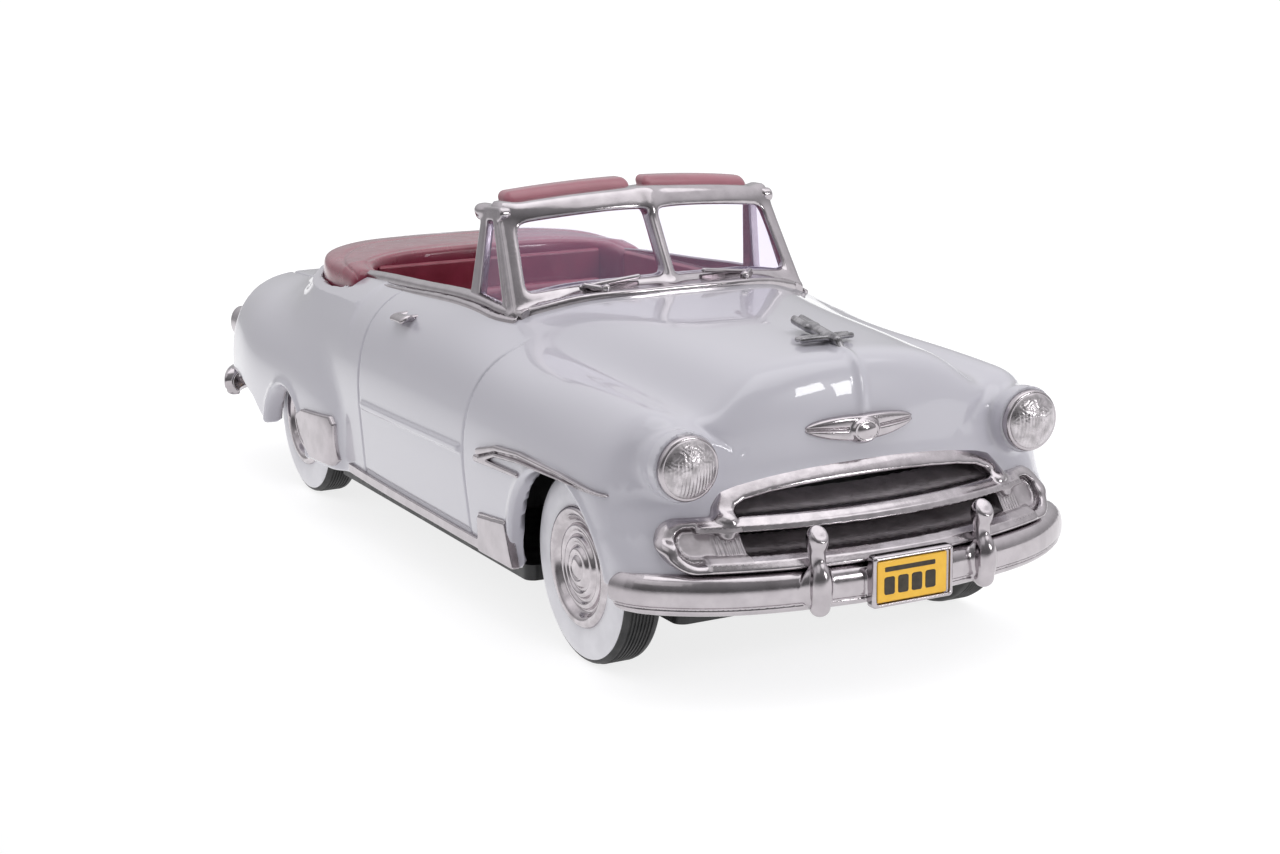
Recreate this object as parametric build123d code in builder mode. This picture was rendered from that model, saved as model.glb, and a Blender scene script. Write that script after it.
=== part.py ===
"""Open two-door convertible from about 1951 as a 1:43 hand-built white-metal collector's model.

Millimetres, +Z up. The origin is on the ground under the middle of the model.
The nose points to -Y and the driver's side (left-hand drive) is +X.
"""

import os

from build123d import *

os.makedirs("parts", exist_ok=True)

# ---------------------------------------------------------------- driving dimensions
WALL = 1.5  # thickness of the cast shell
FRONT_AXLE_Y = -38.4
REAR_AXLE_Y = 29.5  # wheelbase 67.9, 1:43 of 2921 mm
TYRE_R = 8.2
AXLE_Z = TYRE_R
TYRE_IN_X = 14.8
TYRE_OUT_X = 18.85
WHITEWALL_R = 6.7
DISC_R = 4.75
AXLE_R = 0.8
AXLE_END_X = 17.4
BEARING_R = AXLE_R + 0.05  # running fit of the axles in the base plate
WELL_R = 9.1  # wheel wells inside the shell
FRONT_ARCH_R = 8.8
REAR_ARCH_R = 9.6
REAR_ARCH_Z = 4.6
LAMP_X = 16.1
LAMP_Y = -51.6
LAMP_Z = 19.0
LAMP_R = 2.6
BOW_R = 40.0  # plan radius of the nose, grille and bumper
FLOOR_Z = 5.5  # underside of the sills
PLATE_Z = 4.2  # underside of the base plate
PLATE_TOP = 5.6
TUB_X = 14.9  # half width of the interior tub
TUB_FRONT = -17.3
TUB_REAR = 20.6
SCREEN_RAKE = 0.61  # backward lean of the screen, mm per mm of height
SCREEN_BOW = 39.0  # plan radius of the screen
GRILLE_RAKE = 0.65

# Half sections of the hull, nose to tail:
# y, then (x, z) from the centre line over the crown and shoulder to the sill.
HULL = [
    (-58.0, (0, 24.6), (8, 23.8), (13.0, 21.4), (16.2, 21.8), (19.2, 20.2), (20.2, 16.0), (20.0, 11), (19.2, 6.2)),
    (-50.0, (0, 25.5), (8, 24.6), (13.4, 22.0), (16.4, 22.5), (19.7, 20.8), (20.9, 16.3), (20.7, 11), (19.9, 5.9)),
    (-42.0, (0, 26.3), (8, 25.4), (13.8, 22.7), (16.8, 23.0), (20.0, 21.2), (21.2, 16.6), (21.1, 11), (20.3, 5.6)),
    (-34.0, (0, 27.0), (8, 26.3), (14.2, 23.7), (17.2, 23.4), (20.1, 21.6), (21.3, 16.8), (21.2, 11), (20.5, 5.5)),
    (-26.0, (0, 27.6), (8, 27.1), (14.6, 25.0), (17.6, 24.1), (20.2, 22.0), (21.35, 17), (21.3, 11), (20.6, 5.5)),
    (-16.0, (0, 28.0), (8, 27.6), (14.9, 26.1), (18.0, 25.0), (20.2, 22.5), (21.4, 17), (21.3, 11), (20.7, 5.5)),
    (0.0, (0, 27.6), (8, 27.2), (15.0, 26.0), (18.1, 24.9), (20.2, 22.4), (21.4, 17), (21.3, 11), (20.7, 5.5)),
    (14.0, (0, 26.9), (8, 26.6), (15.0, 25.6), (18.0, 24.5), (20.1, 22.0), (21.2, 17), (21.1, 11), (20.5, 5.5)),
    (26.0, (0, 26.0), (8, 25.7), (14.6, 24.8), (17.6, 23.6), (19.7, 21.2), (20.8, 16.5), (20.6, 11), (20.0, 6.0)),
    (38.0, (0, 23.6), (7.5, 23.3), (13.6, 22.3), (16.6, 21.1), (18.8, 19.0), (20.0, 15.5), (19.8, 11), (19.2, 8.0)),
    (48.0, (0, 20.0), (7.0, 19.7), (12.6, 18.8), (15.4, 17.8), (17.4, 16.2), (18.6, 13.6), (18.4, 11), (17.8, 9.0)),
    (58.0, (0, 13.0), (6.5, 12.9), (11.6, 12.5), (14.0, 12.1), (15.6, 11.6), (16.4, 11.0), (16.2, 10.2), (15.8, 9.4)),
]

# Rear fender pontoon: y, outer x, lowest z, highest z.
PONTOON = [
    (10.6, 20.6, 5.6, 17.6),
    (12.4, 21.4, 5.5, 19.4),
    (17.0, 21.85, 5.5, 21.0),
    (24.0, 21.95, 5.6, 21.7),
    (32.0, 21.9, 6.4, 21.6),
    (40.0, 21.5, 8.0, 20.9),
    (48.0, 20.6, 9.2, 19.6),
    (56.0, 18.6, 10.0, 17.6),
]
PONTOON_IN_X = 13.0

# Side outline of the body at the centre line, (y, z).
NOSE_SIDE = [(-55.9, 5.0), (-56.4, 10.8), (-54.4, 14.5), (-52.9, 18.0), (-52.6, 20.2), (-51.6, 23.4)]
NOSE_TOP = [(-51.6, 23.4), (-50.6, 24.9), (-48.6, 25.9), (-45.0, 27.2), (-40.0, 30.0)]
TAIL_SIDE = [(40.0, 30.0), (45.0, 22.6), (49.0, 20.2), (52.4, 16.6), (54.6, 12.4), (55.4, 9.4), (55.2, 5.0)]

# Plan outline of the body, (x, y), from the middle of the nose to the widest point.
NOSE_PLAN = [(0, -56.6), (9, -55.6), (15, -53.2), (18.2, -51.4), (20.4, -48.6), (21.6, -43.5), (23.0, -36.0)]
TAIL_PLAN = [(23.0, 36.0), (21.7, 44.0), (20.3, 49.0), (17.6, 53.0), (13.0, 54.6), (7.0, 55.3), (0, 55.5)]

# Plan of the cockpit opening and of the folded top behind it, (x, y).
COCKPIT_X = 15.0
SCUTTLE = [(-COCKPIT_X, -16.6), (-8, -18.9), (0, -19.6), (8, -18.9), (COCKPIT_X, -16.6)]
BOOT_REAR = [(16.9, 17.0), (16.6, 24.0), (13.4, 30.0), (7.0, 32.8), (0, 33.6)]
BOOT_INNER = [(14.0, 16.4), (13.2, 19.4), (10.0, 21.2), (0, 22.0)]
BOOT_LOW = 21.6
BOOT_TOP = 27.8


# ---------------------------------------------------------------- helpers
def both_sides(points):
    """Continue a half outline that starts or ends on x = 0 across the centre line."""
    if points[0][0] == 0:
        return [(-x, other) for x, other in reversed(points[1:])] + points
    return points + [(-x, other) for x, other in reversed(points[:-1])]


def hull_loft(inset, first, last, drop):
    """Loft of the hull sections, each pulled inwards by inset, open to drop below the sill."""
    with BuildPart() as hull:
        for y, *half in HULL[first:last]:
            shrunk = []
            for x, z in half:
                side = min(x / 20.0, 1.0)
                shrunk.append((x - inset * side, z - inset * (1.15 - 0.5 * side)))
            low_x, low_z = shrunk[-1]
            shrunk[-1] = (low_x, low_z + inset * 0.65)
            outline = both_sides(shrunk)
            with BuildSketch(Plane.XZ.offset(-y)):
                with BuildLine():
                    Spline(*outline)
                    if drop > 0:
                        Line(outline[-1], (outline[-1][0], outline[-1][1] - drop))
                        Line((outline[-1][0], outline[-1][1] - drop), (outline[0][0], outline[0][1] - drop))
                        Line((outline[0][0], outline[0][1] - drop), outline[0])
                    else:
                        Line(outline[-1], outline[0])
                make_face()
        loft()
    return hull.part


def plan_prism(build_outline, low, high):
    """Extrude a plan outline between two heights."""
    with BuildPart() as prism:
        with BuildSketch(Plane.XY.offset(low)):
            with BuildLine():
                build_outline()
            make_face()
        extrude(amount=high - low)
    return prism.part


def bow_slab(y_mid, z_mid, radius, rake, thick, low, high, half_width=24.0):
    """Slab bowed in plan and leaning back; its front face passes (0, y_mid, z_mid)."""
    y_low = y_mid - (z_mid - low) * rake
    sag = half_width * half_width / (2 * radius)
    with BuildPart() as slab:
        with BuildSketch(Plane.XY.offset(low)):
            with BuildLine():
                ThreePointArc((-half_width, y_low + sag), (0, y_low), (half_width, y_low + sag))
                Line((half_width, y_low + sag), (half_width, y_low + sag + thick))
                ThreePointArc(
                    (half_width, y_low + sag + thick), (0, y_low + thick), (-half_width, y_low + sag + thick)
                )
                Line((-half_width, y_low + sag + thick), (-half_width, y_low + sag))
            make_face()
        extrude(amount=(high - low) * (1 + rake * rake) ** 0.5, dir=(0, rake, 1))
    return slab.part


def save(shape, label):
    """Name one sub-part and write it."""
    shape.label = label
    export_step(shape, f"parts/{label}.step")


def mirrored(shape):
    """The same sub-part for the other side of the car."""
    return shape.mirror(Plane.YZ)


# ---------------------------------------------------------------- body shell
with BuildPart() as pontoons:
    for y, out_x, low, high in PONTOON:
        middle_x = (out_x + PONTOON_IN_X) / 2
        half_x = (out_x - PONTOON_IN_X) / 2
        middle_z = (low + high) / 2
        with BuildSketch(Plane.XZ.offset(-y)):
            with BuildLine():
                Spline(
                    (out_x - 0.9, low),
                    (out_x - 0.25, middle_z - 3.0),
                    (out_x, middle_z),
                    (out_x - 0.5, high - 4.4),
                    (out_x - 2.2, high - 1.4),
                    (middle_x, high),
                )
                Line((middle_x, high), (PONTOON_IN_X, high - 0.6))
                Line((PONTOON_IN_X, high - 0.6), (PONTOON_IN_X, low))
                Line((PONTOON_IN_X, low), (out_x - 0.9, low))
            make_face()
    loft()
    mirror(about=Plane.YZ)

with BuildPart() as side_form:
    with BuildSketch(Plane.YZ):
        with BuildLine():
            Spline(*NOSE_SIDE)
            Spline(*NOSE_TOP)
            Line(NOSE_TOP[-1], TAIL_SIDE[0])
            Spline(*TAIL_SIDE)
            Line(TAIL_SIDE[-1], NOSE_SIDE[0])
        make_face()
    extrude(amount=30, both=True)

with BuildPart() as plan_form:
    with BuildSketch(Plane.XY.offset(3)):
        with BuildLine():
            Spline(*both_sides(NOSE_PLAN))
            Line(NOSE_PLAN[-1], TAIL_PLAN[0])
            Spline(*both_sides(TAIL_PLAN))
            Line((-TAIL_PLAN[0][0], TAIL_PLAN[0][1]), (-NOSE_PLAN[-1][0], NOSE_PLAN[-1][1]))
        make_face()
    extrude(amount=30)


def cockpit_outline():
    Spline(*SCUTTLE)
    Line((COCKPIT_X, SCUTTLE[-1][1]), (COCKPIT_X, BOOT_REAR[0][1]))
    Line((COCKPIT_X, BOOT_REAR[0][1]), (-COCKPIT_X, BOOT_REAR[0][1]))
    Line((-COCKPIT_X, BOOT_REAR[0][1]), (-COCKPIT_X, SCUTTLE[0][1]))


def well_outline():
    Spline(*both_sides(BOOT_REAR))
    Line((-BOOT_REAR[0][0], BOOT_REAR[0][1]), BOOT_REAR[0])


def boot_outline():
    Spline(*both_sides(BOOT_REAR))
    Line((-BOOT_REAR[0][0], BOOT_REAR[0][1]), (-BOOT_INNER[0][0], BOOT_INNER[0][1]))
    Spline(*both_sides(BOOT_INNER))
    Line(BOOT_INNER[0], BOOT_REAR[0])


with BuildPart() as body_shell:
    add(hull_loft(0, 0, len(HULL), 0))
    add(pontoons.part)
    add(side_form.part, mode=Mode.INTERSECT)
    add(plan_form.part, mode=Mode.INTERSECT)
    # hollow inside, open underneath
    add(hull_loft(WALL, 2, len(HULL) - 1, 6), mode=Mode.SUBTRACT)
    # wheel wells and arches
    for y in (FRONT_AXLE_Y, REAR_AXLE_Y):
        with Locations((0, y, AXLE_Z)):
            Cylinder(WELL_R, 2 * (TYRE_OUT_X + 0.8), rotation=(0, 90, 0), mode=Mode.SUBTRACT)
    with Locations((0, FRONT_AXLE_Y, AXLE_Z)):
        Cylinder(FRONT_ARCH_R, 60, rotation=(0, 90, 0), mode=Mode.SUBTRACT)
    with Locations((0, REAR_AXLE_Y, REAR_ARCH_Z)):
        Cylinder(REAR_ARCH_R, 60, rotation=(0, 90, 0), mode=Mode.SUBTRACT)
    # cockpit opening with the well for the folded top
    add(plan_prism(cockpit_outline, 15, 32), mode=Mode.SUBTRACT)
    add(plan_prism(well_outline, 15, 32), mode=Mode.SUBTRACT)
    # opening behind the grille
    with BuildSketch(Plane.XZ.offset(42)):
        with BuildLine():
            Polyline((-16.8, 11.4), (16.8, 11.4), (16.8, 14.2), (12.6, 14.2), (12.6, 16.4), (-12.6, 16.4))
            Polyline((-12.6, 16.4), (-12.6, 14.2), (-16.8, 14.2), (-16.8, 11.4))
        make_face()
    extrude(amount=20, mode=Mode.SUBTRACT)
    # headlamp sockets
    with Locations(*[Location((side * LAMP_X, LAMP_Y, LAMP_Z), (90, 0, 0)) for side in (-1, 1)]):
        Cylinder(LAMP_R - 0.4, 7, mode=Mode.SUBTRACT)
    # bosses that take the base plate screws
    for y in (-27.0, 42.0):
        with BuildSketch(Plane.XY.offset(PLATE_TOP)):
            with Locations((0, y)):
                Circle(2.2)
                Circle(0.7, mode=Mode.SUBTRACT)
        extrude(until=Until.NEXT)
save(body_shell.part, "body_shell")

# ---------------------------------------------------------------- base plate, screws and axles
SCREW_Y = (-27.0, 42.0)
with BuildPart() as chassis_plate:
    with BuildSketch(Plane.XY.offset(PLATE_Z)):
        with Locations((0, -0.5)):
            Rectangle(27.0, 90.0)
        with Locations((0, -4.5)):
            Rectangle(37.2, 47.0)
    extrude(amount=PLATE_TOP - PLATE_Z)
    fillet(chassis_plate.edges().filter_by(Axis.Z), 1.0)
    # cradles that carry the axles
    for y in (FRONT_AXLE_Y, REAR_AXLE_Y):
        with Locations((-11.0, y, PLATE_TOP), (11.0, y, PLATE_TOP)):
            Box(3.0, 4.4, 5.0, align=(Align.CENTER, Align.CENTER, Align.MIN))
        with Locations((0, y, AXLE_Z)):
            Cylinder(BEARING_R, 30, rotation=(0, 90, 0), mode=Mode.SUBTRACT)
    # counterbored screw holes
    with BuildSketch(Plane.XY.offset(PLATE_Z)):
        with Locations(*[(0, y) for y in SCREW_Y]):
            Circle(0.8)
    extrude(amount=PLATE_TOP - PLATE_Z, mode=Mode.SUBTRACT)
    with BuildSketch(Plane.XY.offset(PLATE_Z)):
        with Locations(*[(0, y) for y in SCREW_Y]):
            Circle(1.7)
    extrude(amount=0.7, mode=Mode.SUBTRACT)
save(chassis_plate.part, "chassis_plate")

with BuildPart() as chassis_screws:
    with BuildSketch(Plane.XY.offset(PLATE_Z + 0.1)):
        with Locations(*[(0, y) for y in SCREW_Y]):
            Circle(1.6)
    extrude(amount=0.6)
    with BuildSketch(Plane.XY.offset(PLATE_Z + 0.6)):
        with Locations(*[(0, y) for y in SCREW_Y]):
            Circle(0.7)
    extrude(amount=6.0)
    with BuildSketch(Plane.XY.offset(PLATE_Z + 0.1)):
        with Locations(*[(0, y) for y in SCREW_Y]):
            Rectangle(2.6, 0.35)
    extrude(amount=0.3, mode=Mode.SUBTRACT)
save(chassis_screws.part, "chassis_screws")


def ring_profile(points):
    """Half profile of a wheel piece, (distance from the car's middle, radius), closed."""
    Polyline(*points)
    Line(points[-1], points[0])


DISC = [(14.9, 3.9), (18.0, 3.9), (18.0, 4.2), (18.55, 4.4), (18.85, DISC_R - 0.25), (18.6, DISC_R), (14.9, DISC_R)]
DISC_FACE = [
    (16.4, 0.0),
    (16.4, 4.0),
    (18.1, 4.0),
    (18.2, 3.3),
    (18.5, 3.2),
    (18.5, 2.5),
    (18.75, 2.4),
    (18.8, 1.7),
    (19.05, 1.5),
    (19.15, 0.7),
    (19.2, 0.0),
]
WHITEWALL = [
    (18.3, DISC_R + 0.1),
    (18.75, DISC_R + 0.15),
    (18.95, 5.6),
    (18.9, 6.3),
    (18.7, WHITEWALL_R),
    (18.3, WHITEWALL_R),
]
TYRE = [
    (TYRE_IN_X, 5.2),
    (15.6, DISC_R),
    (18.3, DISC_R),
    (18.3, WHITEWALL_R),
    (18.6, WHITEWALL_R + 0.05),
    (18.45, 7.4),
    (17.9, 8.05),
    (17.2, TYRE_R),
    (16.4, TYRE_R),
    (15.6, 8.05),
    (15.0, 7.4),
]
for end, axle_y in (("front", FRONT_AXLE_Y), ("rear", REAR_AXLE_Y)):
    middle = Plane(origin=(0, axle_y, AXLE_Z), x_dir=(1, 0, 0), z_dir=(0, -1, 0))
    spin = Axis((0, axle_y, AXLE_Z), (1, 0, 0))
    with BuildPart() as axle:
        with Locations((0, axle_y, AXLE_Z)):
            Cylinder(AXLE_R, 2 * AXLE_END_X, rotation=(0, 90, 0))
    save(axle.part, f"{end}_axle")
    with BuildPart() as wheel_disc:
        with BuildSketch(middle):
            with BuildLine():
                ring_profile(DISC)
            make_face()
        revolve(axis=spin)
        with BuildSketch(middle):
            with BuildLine():
                ring_profile(DISC_FACE)
            make_face()
        revolve(axis=spin)
        with Locations((AXLE_END_X / 2, axle_y, AXLE_Z)):
            Cylinder(AXLE_R, AXLE_END_X, rotation=(0, 90, 0), mode=Mode.SUBTRACT)
    with BuildPart() as whitewall:
        with BuildSketch(middle):
            with BuildLine():
                ring_profile(WHITEWALL)
            make_face()
        revolve(axis=spin)
    with BuildPart() as tyre:
        with BuildSketch(middle):
            with BuildLine():
                ring_profile(TYRE)
            make_face()
        revolve(axis=spin)
    for name, wheel_piece in (("wheel_disc", wheel_disc.part), ("whitewall", whitewall.part), ("tyre", tyre.part)):
        save(mirrored(wheel_piece), f"{end}_{name}_right")
        save(wheel_piece, f"{end}_{name}_left")

# ---------------------------------------------------------------- folded top under its cover
with BuildPart() as boot:
    with BuildSketch(Plane.XY.offset(BOOT_LOW)):
        with BuildLine():
            boot_outline()
        make_face()
    extrude(amount=BOOT_TOP - BOOT_LOW)
    chamfer(boot.faces().sort_by(Axis.Z)[-1].edges(), 0.8)
save(boot.part, "folded_top_boot")

# ---------------------------------------------------------------- interior
DOOR_CARD = 0.9
TUB_FLOOR = 7.4
TUB_RIM = 25.6
TUB_FRONT = -16.5
with BuildPart() as tub:
    middle_y = (TUB_FRONT + TUB_REAR) / 2
    with BuildSketch(Plane.XY.offset(TUB_FLOOR)):
        with Locations((0, middle_y)):
            Rectangle(2 * TUB_X, TUB_REAR - TUB_FRONT)
    extrude(amount=TUB_RIM - TUB_FLOOR)
    with BuildSketch(Plane.XY.offset(TUB_FLOOR + DOOR_CARD)):
        with Locations((0, middle_y)):
            Rectangle(2 * (TUB_X - DOOR_CARD), TUB_REAR - TUB_FRONT - 2 * DOOR_CARD)
    extrude(amount=30, mode=Mode.SUBTRACT)
    # the dashboard closes the front above the toe board
    with BuildSketch(Plane.XY.offset(20.4)):
        with Locations((0, TUB_FRONT)):
            Rectangle(2 * (TUB_X - DOOR_CARD), 2.0)
    extrude(amount=10, mode=Mode.SUBTRACT)
    # transmission tunnel
    with Locations((0, middle_y, TUB_FLOOR + DOOR_CARD)):
        Cylinder(2.2, TUB_REAR - TUB_FRONT - DOOR_CARD, rotation=(90, 0, 0))
    with BuildSketch(Plane.XY.offset(TUB_FLOOR)):
        with Locations((0, middle_y)):
            Rectangle(8, 60)
    extrude(amount=-5, mode=Mode.SUBTRACT)
save(tub.part - boot.part, "interior_tub")


def bench(front_y, back_y, top_z, half_width):
    """Side profile of a bench seat with a leaning back, extruded across the car."""
    base_z = TUB_FLOOR + DOOR_CARD + 2.3
    with BuildPart() as seat:
        with BuildSketch(Plane.YZ) as profile:
            with BuildLine():
                Polyline(
                    (front_y, base_z),
                    (front_y - 0.3, base_z + 3.0),
                    (back_y - 3.2, base_z + 2.4),
                    (back_y - 2.2, top_z),
                    (back_y, top_z),
                    (back_y - 0.8, base_z),
                    (front_y, base_z),
                )
            make_face()
            fillet(profile.vertices(), 0.7)
        extrude(amount=half_width, both=True)
        fillet(seat.faces().filter_by(Axis.X).edges(), 0.4)
    return seat.part


save(bench(-4.6, 6.6, 23.2, 12.8), "front_seat")
save(bench(9.8, 19.2, 22.6, 12.4), "rear_seat")

# windscreen frame comes first because the dashboard is trimmed to it
SCREEN_Z = 28.5
with BuildPart() as windshield_frame:
    add(bow_slab(-20.3, SCREEN_Z, SCREEN_BOW, SCREEN_RAKE, 1.6, 22, 40))
    with BuildSketch(Plane.XZ.offset(-10)):
        with BuildLine():
            Spline((-15.2, 25.4), (-8, 27.0), (0, 27.6), (8, 27.0), (15.2, 25.4))
            Line((15.2, 25.4), (14.5, 34.4))
            Spline((14.5, 34.4), (13.4, 35.6), (8, 36.1), (0, 36.3), (-8, 36.1), (-13.4, 35.6), (-14.5, 34.4))
            Line((-14.5, 34.4), (-15.2, 25.4))
        make_face()
    extrude(amount=30, mode=Mode.INTERSECT)


def pane_outline(side):
    """Glass outline of one half of the split windscreen, seen from the front."""
    Spline((side * 0.6, 28.7), (side * 7.0, 28.4), (side * 13.3, 27.7))
    Line((side * 13.3, 27.7), (side * 12.9, 33.4))
    Spline((side * 12.9, 33.4), (side * 7.0, 34.0), (side * 0.6, 34.2))
    Line((side * 0.6, 34.2), (side * 0.6, 28.7))


def pane_prism(side):
    """The pane outline run through the car from front to back."""
    with BuildPart() as prism:
        with BuildSketch(Plane.XZ.offset(-10)):
            with BuildLine():
                pane_outline(side)
            make_face()
        extrude(amount=30)
    return prism.part


screen = windshield_frame.part - pane_prism(-1) - pane_prism(1)
save(screen, "windshield_frame")
pane_slab = bow_slab(-19.7, SCREEN_Z, SCREEN_BOW, SCREEN_RAKE, 0.5, 22, 40)
save(pane_slab & pane_prism(-1), "windshield_pane_right")
save(pane_slab & pane_prism(1), "windshield_pane_left")

with BuildPart() as vent_frame:
    with BuildSketch(Plane.YZ.offset(14.0)) as vent_outline:
        with BuildLine():
            Polyline((-17.8, TUB_RIM), (-8.0, TUB_RIM), (-7.4, 34.6), (-13.6, 35.0), (-17.8, TUB_RIM))
        make_face()
        with BuildLine():
            Polyline((-16.0, 26.9), (-9.2, 26.9), (-8.7, 33.5), (-12.7, 33.7), (-16.0, 26.9))
        make_face(mode=Mode.SUBTRACT)
    extrude(amount=1.0)
with BuildPart() as vent_glass:
    with BuildSketch(Plane.YZ.offset(14.3)):
        with BuildLine():
            Polyline((-16.0, 26.9), (-9.2, 26.9), (-8.7, 33.5), (-12.7, 33.7), (-16.0, 26.9))
        make_face()
    extrude(amount=0.4)
vent_left = vent_frame.part - windshield_frame.part
save(mirrored(vent_left), "vent_frame_right")
save(vent_left, "vent_frame_left")
vent_pane = vent_glass.part - windshield_frame.part
save(Compound(children=[vent_pane, mirrored(vent_pane)]), "vent_panes")

with BuildPart() as visor:
    add(bow_slab(-18.6, SCREEN_Z, SCREEN_BOW, SCREEN_RAKE, 2.2, 22, 42))
    with BuildSketch(Plane.XZ.offset(-10)):
        with BuildLine():
            Polyline((1.8, 35.0), (12.6, 34.6), (12.8, 36.3), (7, 36.8), (2.0, 36.9), (1.8, 35.0))
        make_face()
    extrude(amount=30, mode=Mode.INTERSECT)
    fillet(visor.edges(), 0.4)
visor_left = visor.part - windshield_frame.part
save(mirrored(visor_left), "sun_visor_right")
save(visor_left, "sun_visor_left")

DASH_X = TUB_X - DOOR_CARD
with BuildPart() as dashboard:
    with BuildSketch(Plane.XY.offset(20.4)):
        with BuildLine():
            Spline((-DASH_X, -17.0), (-8, -18.8), (0, -19.5), (8, -18.8), (DASH_X, -17.0))
            Line((DASH_X, -17.0), (DASH_X, -14.6))
            Line((DASH_X, -14.6), (-DASH_X, -14.6))
            Line((-DASH_X, -14.6), (-DASH_X, -17.0))
        make_face()
    extrude(amount=5.6)
    fillet(dashboard.edges().filter_by(Axis.X).group_by(Axis.Y)[-1].group_by(Axis.Z)[-1], 1.2)
    # instrument nacelle ahead of the driver and glove box relief
    with Locations((7.0, -14.6, 23.4)):
        Cylinder(1.7, 0.6, rotation=(90, 0, 0))
    with Locations((-7.5, -14.55, 23.0)):
        Box(7.0, 0.4, 2.4)
save(dashboard.part - body_shell.part - windshield_frame.part - tub.part, "dashboard")

# steering column and wheel, set for left-hand drive
WHEEL_PLANE = Plane(origin=(7.0, -9.2, 21.8), x_dir=(1, 0, 0), z_dir=(0, 0.86, 0.51))
WHEEL_RIM_R = 4.6
with BuildPart() as steering_wheel:
    with BuildSketch(Plane(WHEEL_PLANE.origin, x_dir=WHEEL_PLANE.z_dir, z_dir=(1, 0, 0))):
        with Locations((0, WHEEL_RIM_R)):
            Circle(0.3)
    revolve(axis=Axis(WHEEL_PLANE.origin, WHEEL_PLANE.z_dir))
    with BuildSketch(WHEEL_PLANE.offset(-0.35)):
        Circle(0.95)
    extrude(amount=0.6)
    with BuildSketch(WHEEL_PLANE.offset(-0.2)):
        Rectangle(2 * WHEEL_RIM_R, 0.45)
        with Locations((0, -WHEEL_RIM_R / 2)):
            Rectangle(0.45, WHEEL_RIM_R)
    extrude(amount=0.35)
with BuildPart() as steering_column:
    with BuildSketch(WHEEL_PLANE.offset(-0.35)):
        Circle(0.45)
    extrude(amount=-10.0)
save(steering_wheel.part, "steering_wheel")
column = steering_column.part - dashboard.part - tub.part - body_shell.part
save(column.solids().sort_by(Axis.Y)[-1], "steering_column")

# ---------------------------------------------------------------- wipers
with BuildPart() as wiper:
    with BuildSketch(Plane(origin=(7.6, -20.6, 28.0), x_dir=(1, 0, -0.02), z_dir=(0, -0.85, 0.52))):
        with Locations((0, 0)):
            Circle(0.45)
        with Locations((-0.4, 0.5)):
            Rectangle(6.6, 0.3)
    extrude(amount=0.35)
wiper_left = wiper.part - windshield_frame.part
save(Compound(children=[wiper_left, mirrored(wiper_left)]), "wipers")

# ---------------------------------------------------------------- bright trim on the sides
with BuildPart() as belt:
    with BuildLine() as belt_line:
        Spline((16.1, -22.0, 26.2), (16.25, -10.0, 26.2), (16.25, 4.0, 25.7), (16.0, 15.8, 25.1))
    with BuildSketch(Plane(belt_line.line @ 0, x_dir=(1, 0, 0), z_dir=belt_line.line % 0)):
        RectangleRounded(1.8, 1.1, 0.3)
    sweep()
belt_left = belt.part - screen
save(mirrored(belt_left), "belt_moulding_right")
save(belt_left, "belt_moulding_left")

HANDLE_Y = -2.2
with BuildPart() as door_handle:
    with BuildSketch(Plane.YZ.offset(19.2)):
        with Locations((HANDLE_Y, 23.9)):
            SlotOverall(3.6, 0.8)
    extrude(amount=1.3)
save(Compound(children=[door_handle.part, mirrored(door_handle.part)]), "door_handles")


def side_plate(outline, from_x, to_x):
    """Trim piece drawn on the side of the body, (y, z), let into the casting."""
    with BuildPart() as plate:
        with BuildSketch(Plane.YZ.offset(from_x)):
            with BuildLine():
                Polyline(*outline)
                Line(outline[-1], outline[0])
            make_face()
        extrude(amount=to_x - from_x)
    return plate.part


SPEAR = [(-24.4, 15.2), (-24.4, 16.1), (-28.0, 17.3), (-38.0, 17.6), (-48.8, 16.8), (-38.0, 16.5), (-28.0, 16.1)]
SHORT_SPEAR = [(-24.6, 14.3), (-24.6, 14.8), (-33.2, 15.3), (-28.0, 14.4)]
SHIELD = [(11.4, 8.0), (11.0, 12.4), (20.8, 11.2), (19.4, 9.4), (18.4, 7.0), (18.2, 6.6)]
SILL = [(-26.0, 5.9), (-26.0, 7.0), (9.6, 6.9), (9.6, 5.8)]
GUARD = [(-29.0, 6.6), (-29.0, 10.0), (-23.6, 9.6), (-23.6, 7.0), (-26.0, 7.0), (-26.0, 6.2)]
spear = side_plate(SPEAR, 20.4, 21.7)
short_spear = side_plate(SHORT_SPEAR, 20.6, 21.7)
shield = side_plate(SHIELD, 20.6, 22.1)
sill = side_plate(SILL, 20.2, 21.4)
guard = side_plate(GUARD, 20.2, 21.7)
spears = spear + short_spear
save(mirrored(spears), "fender_spear_right")
save(spears, "fender_spear_left")
save(mirrored(shield), "gravel_shield_right")
save(shield, "gravel_shield_left")
sill_trim = sill + guard
save(mirrored(sill_trim), "sill_moulding_right")
save(sill_trim, "sill_moulding_left")

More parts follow.
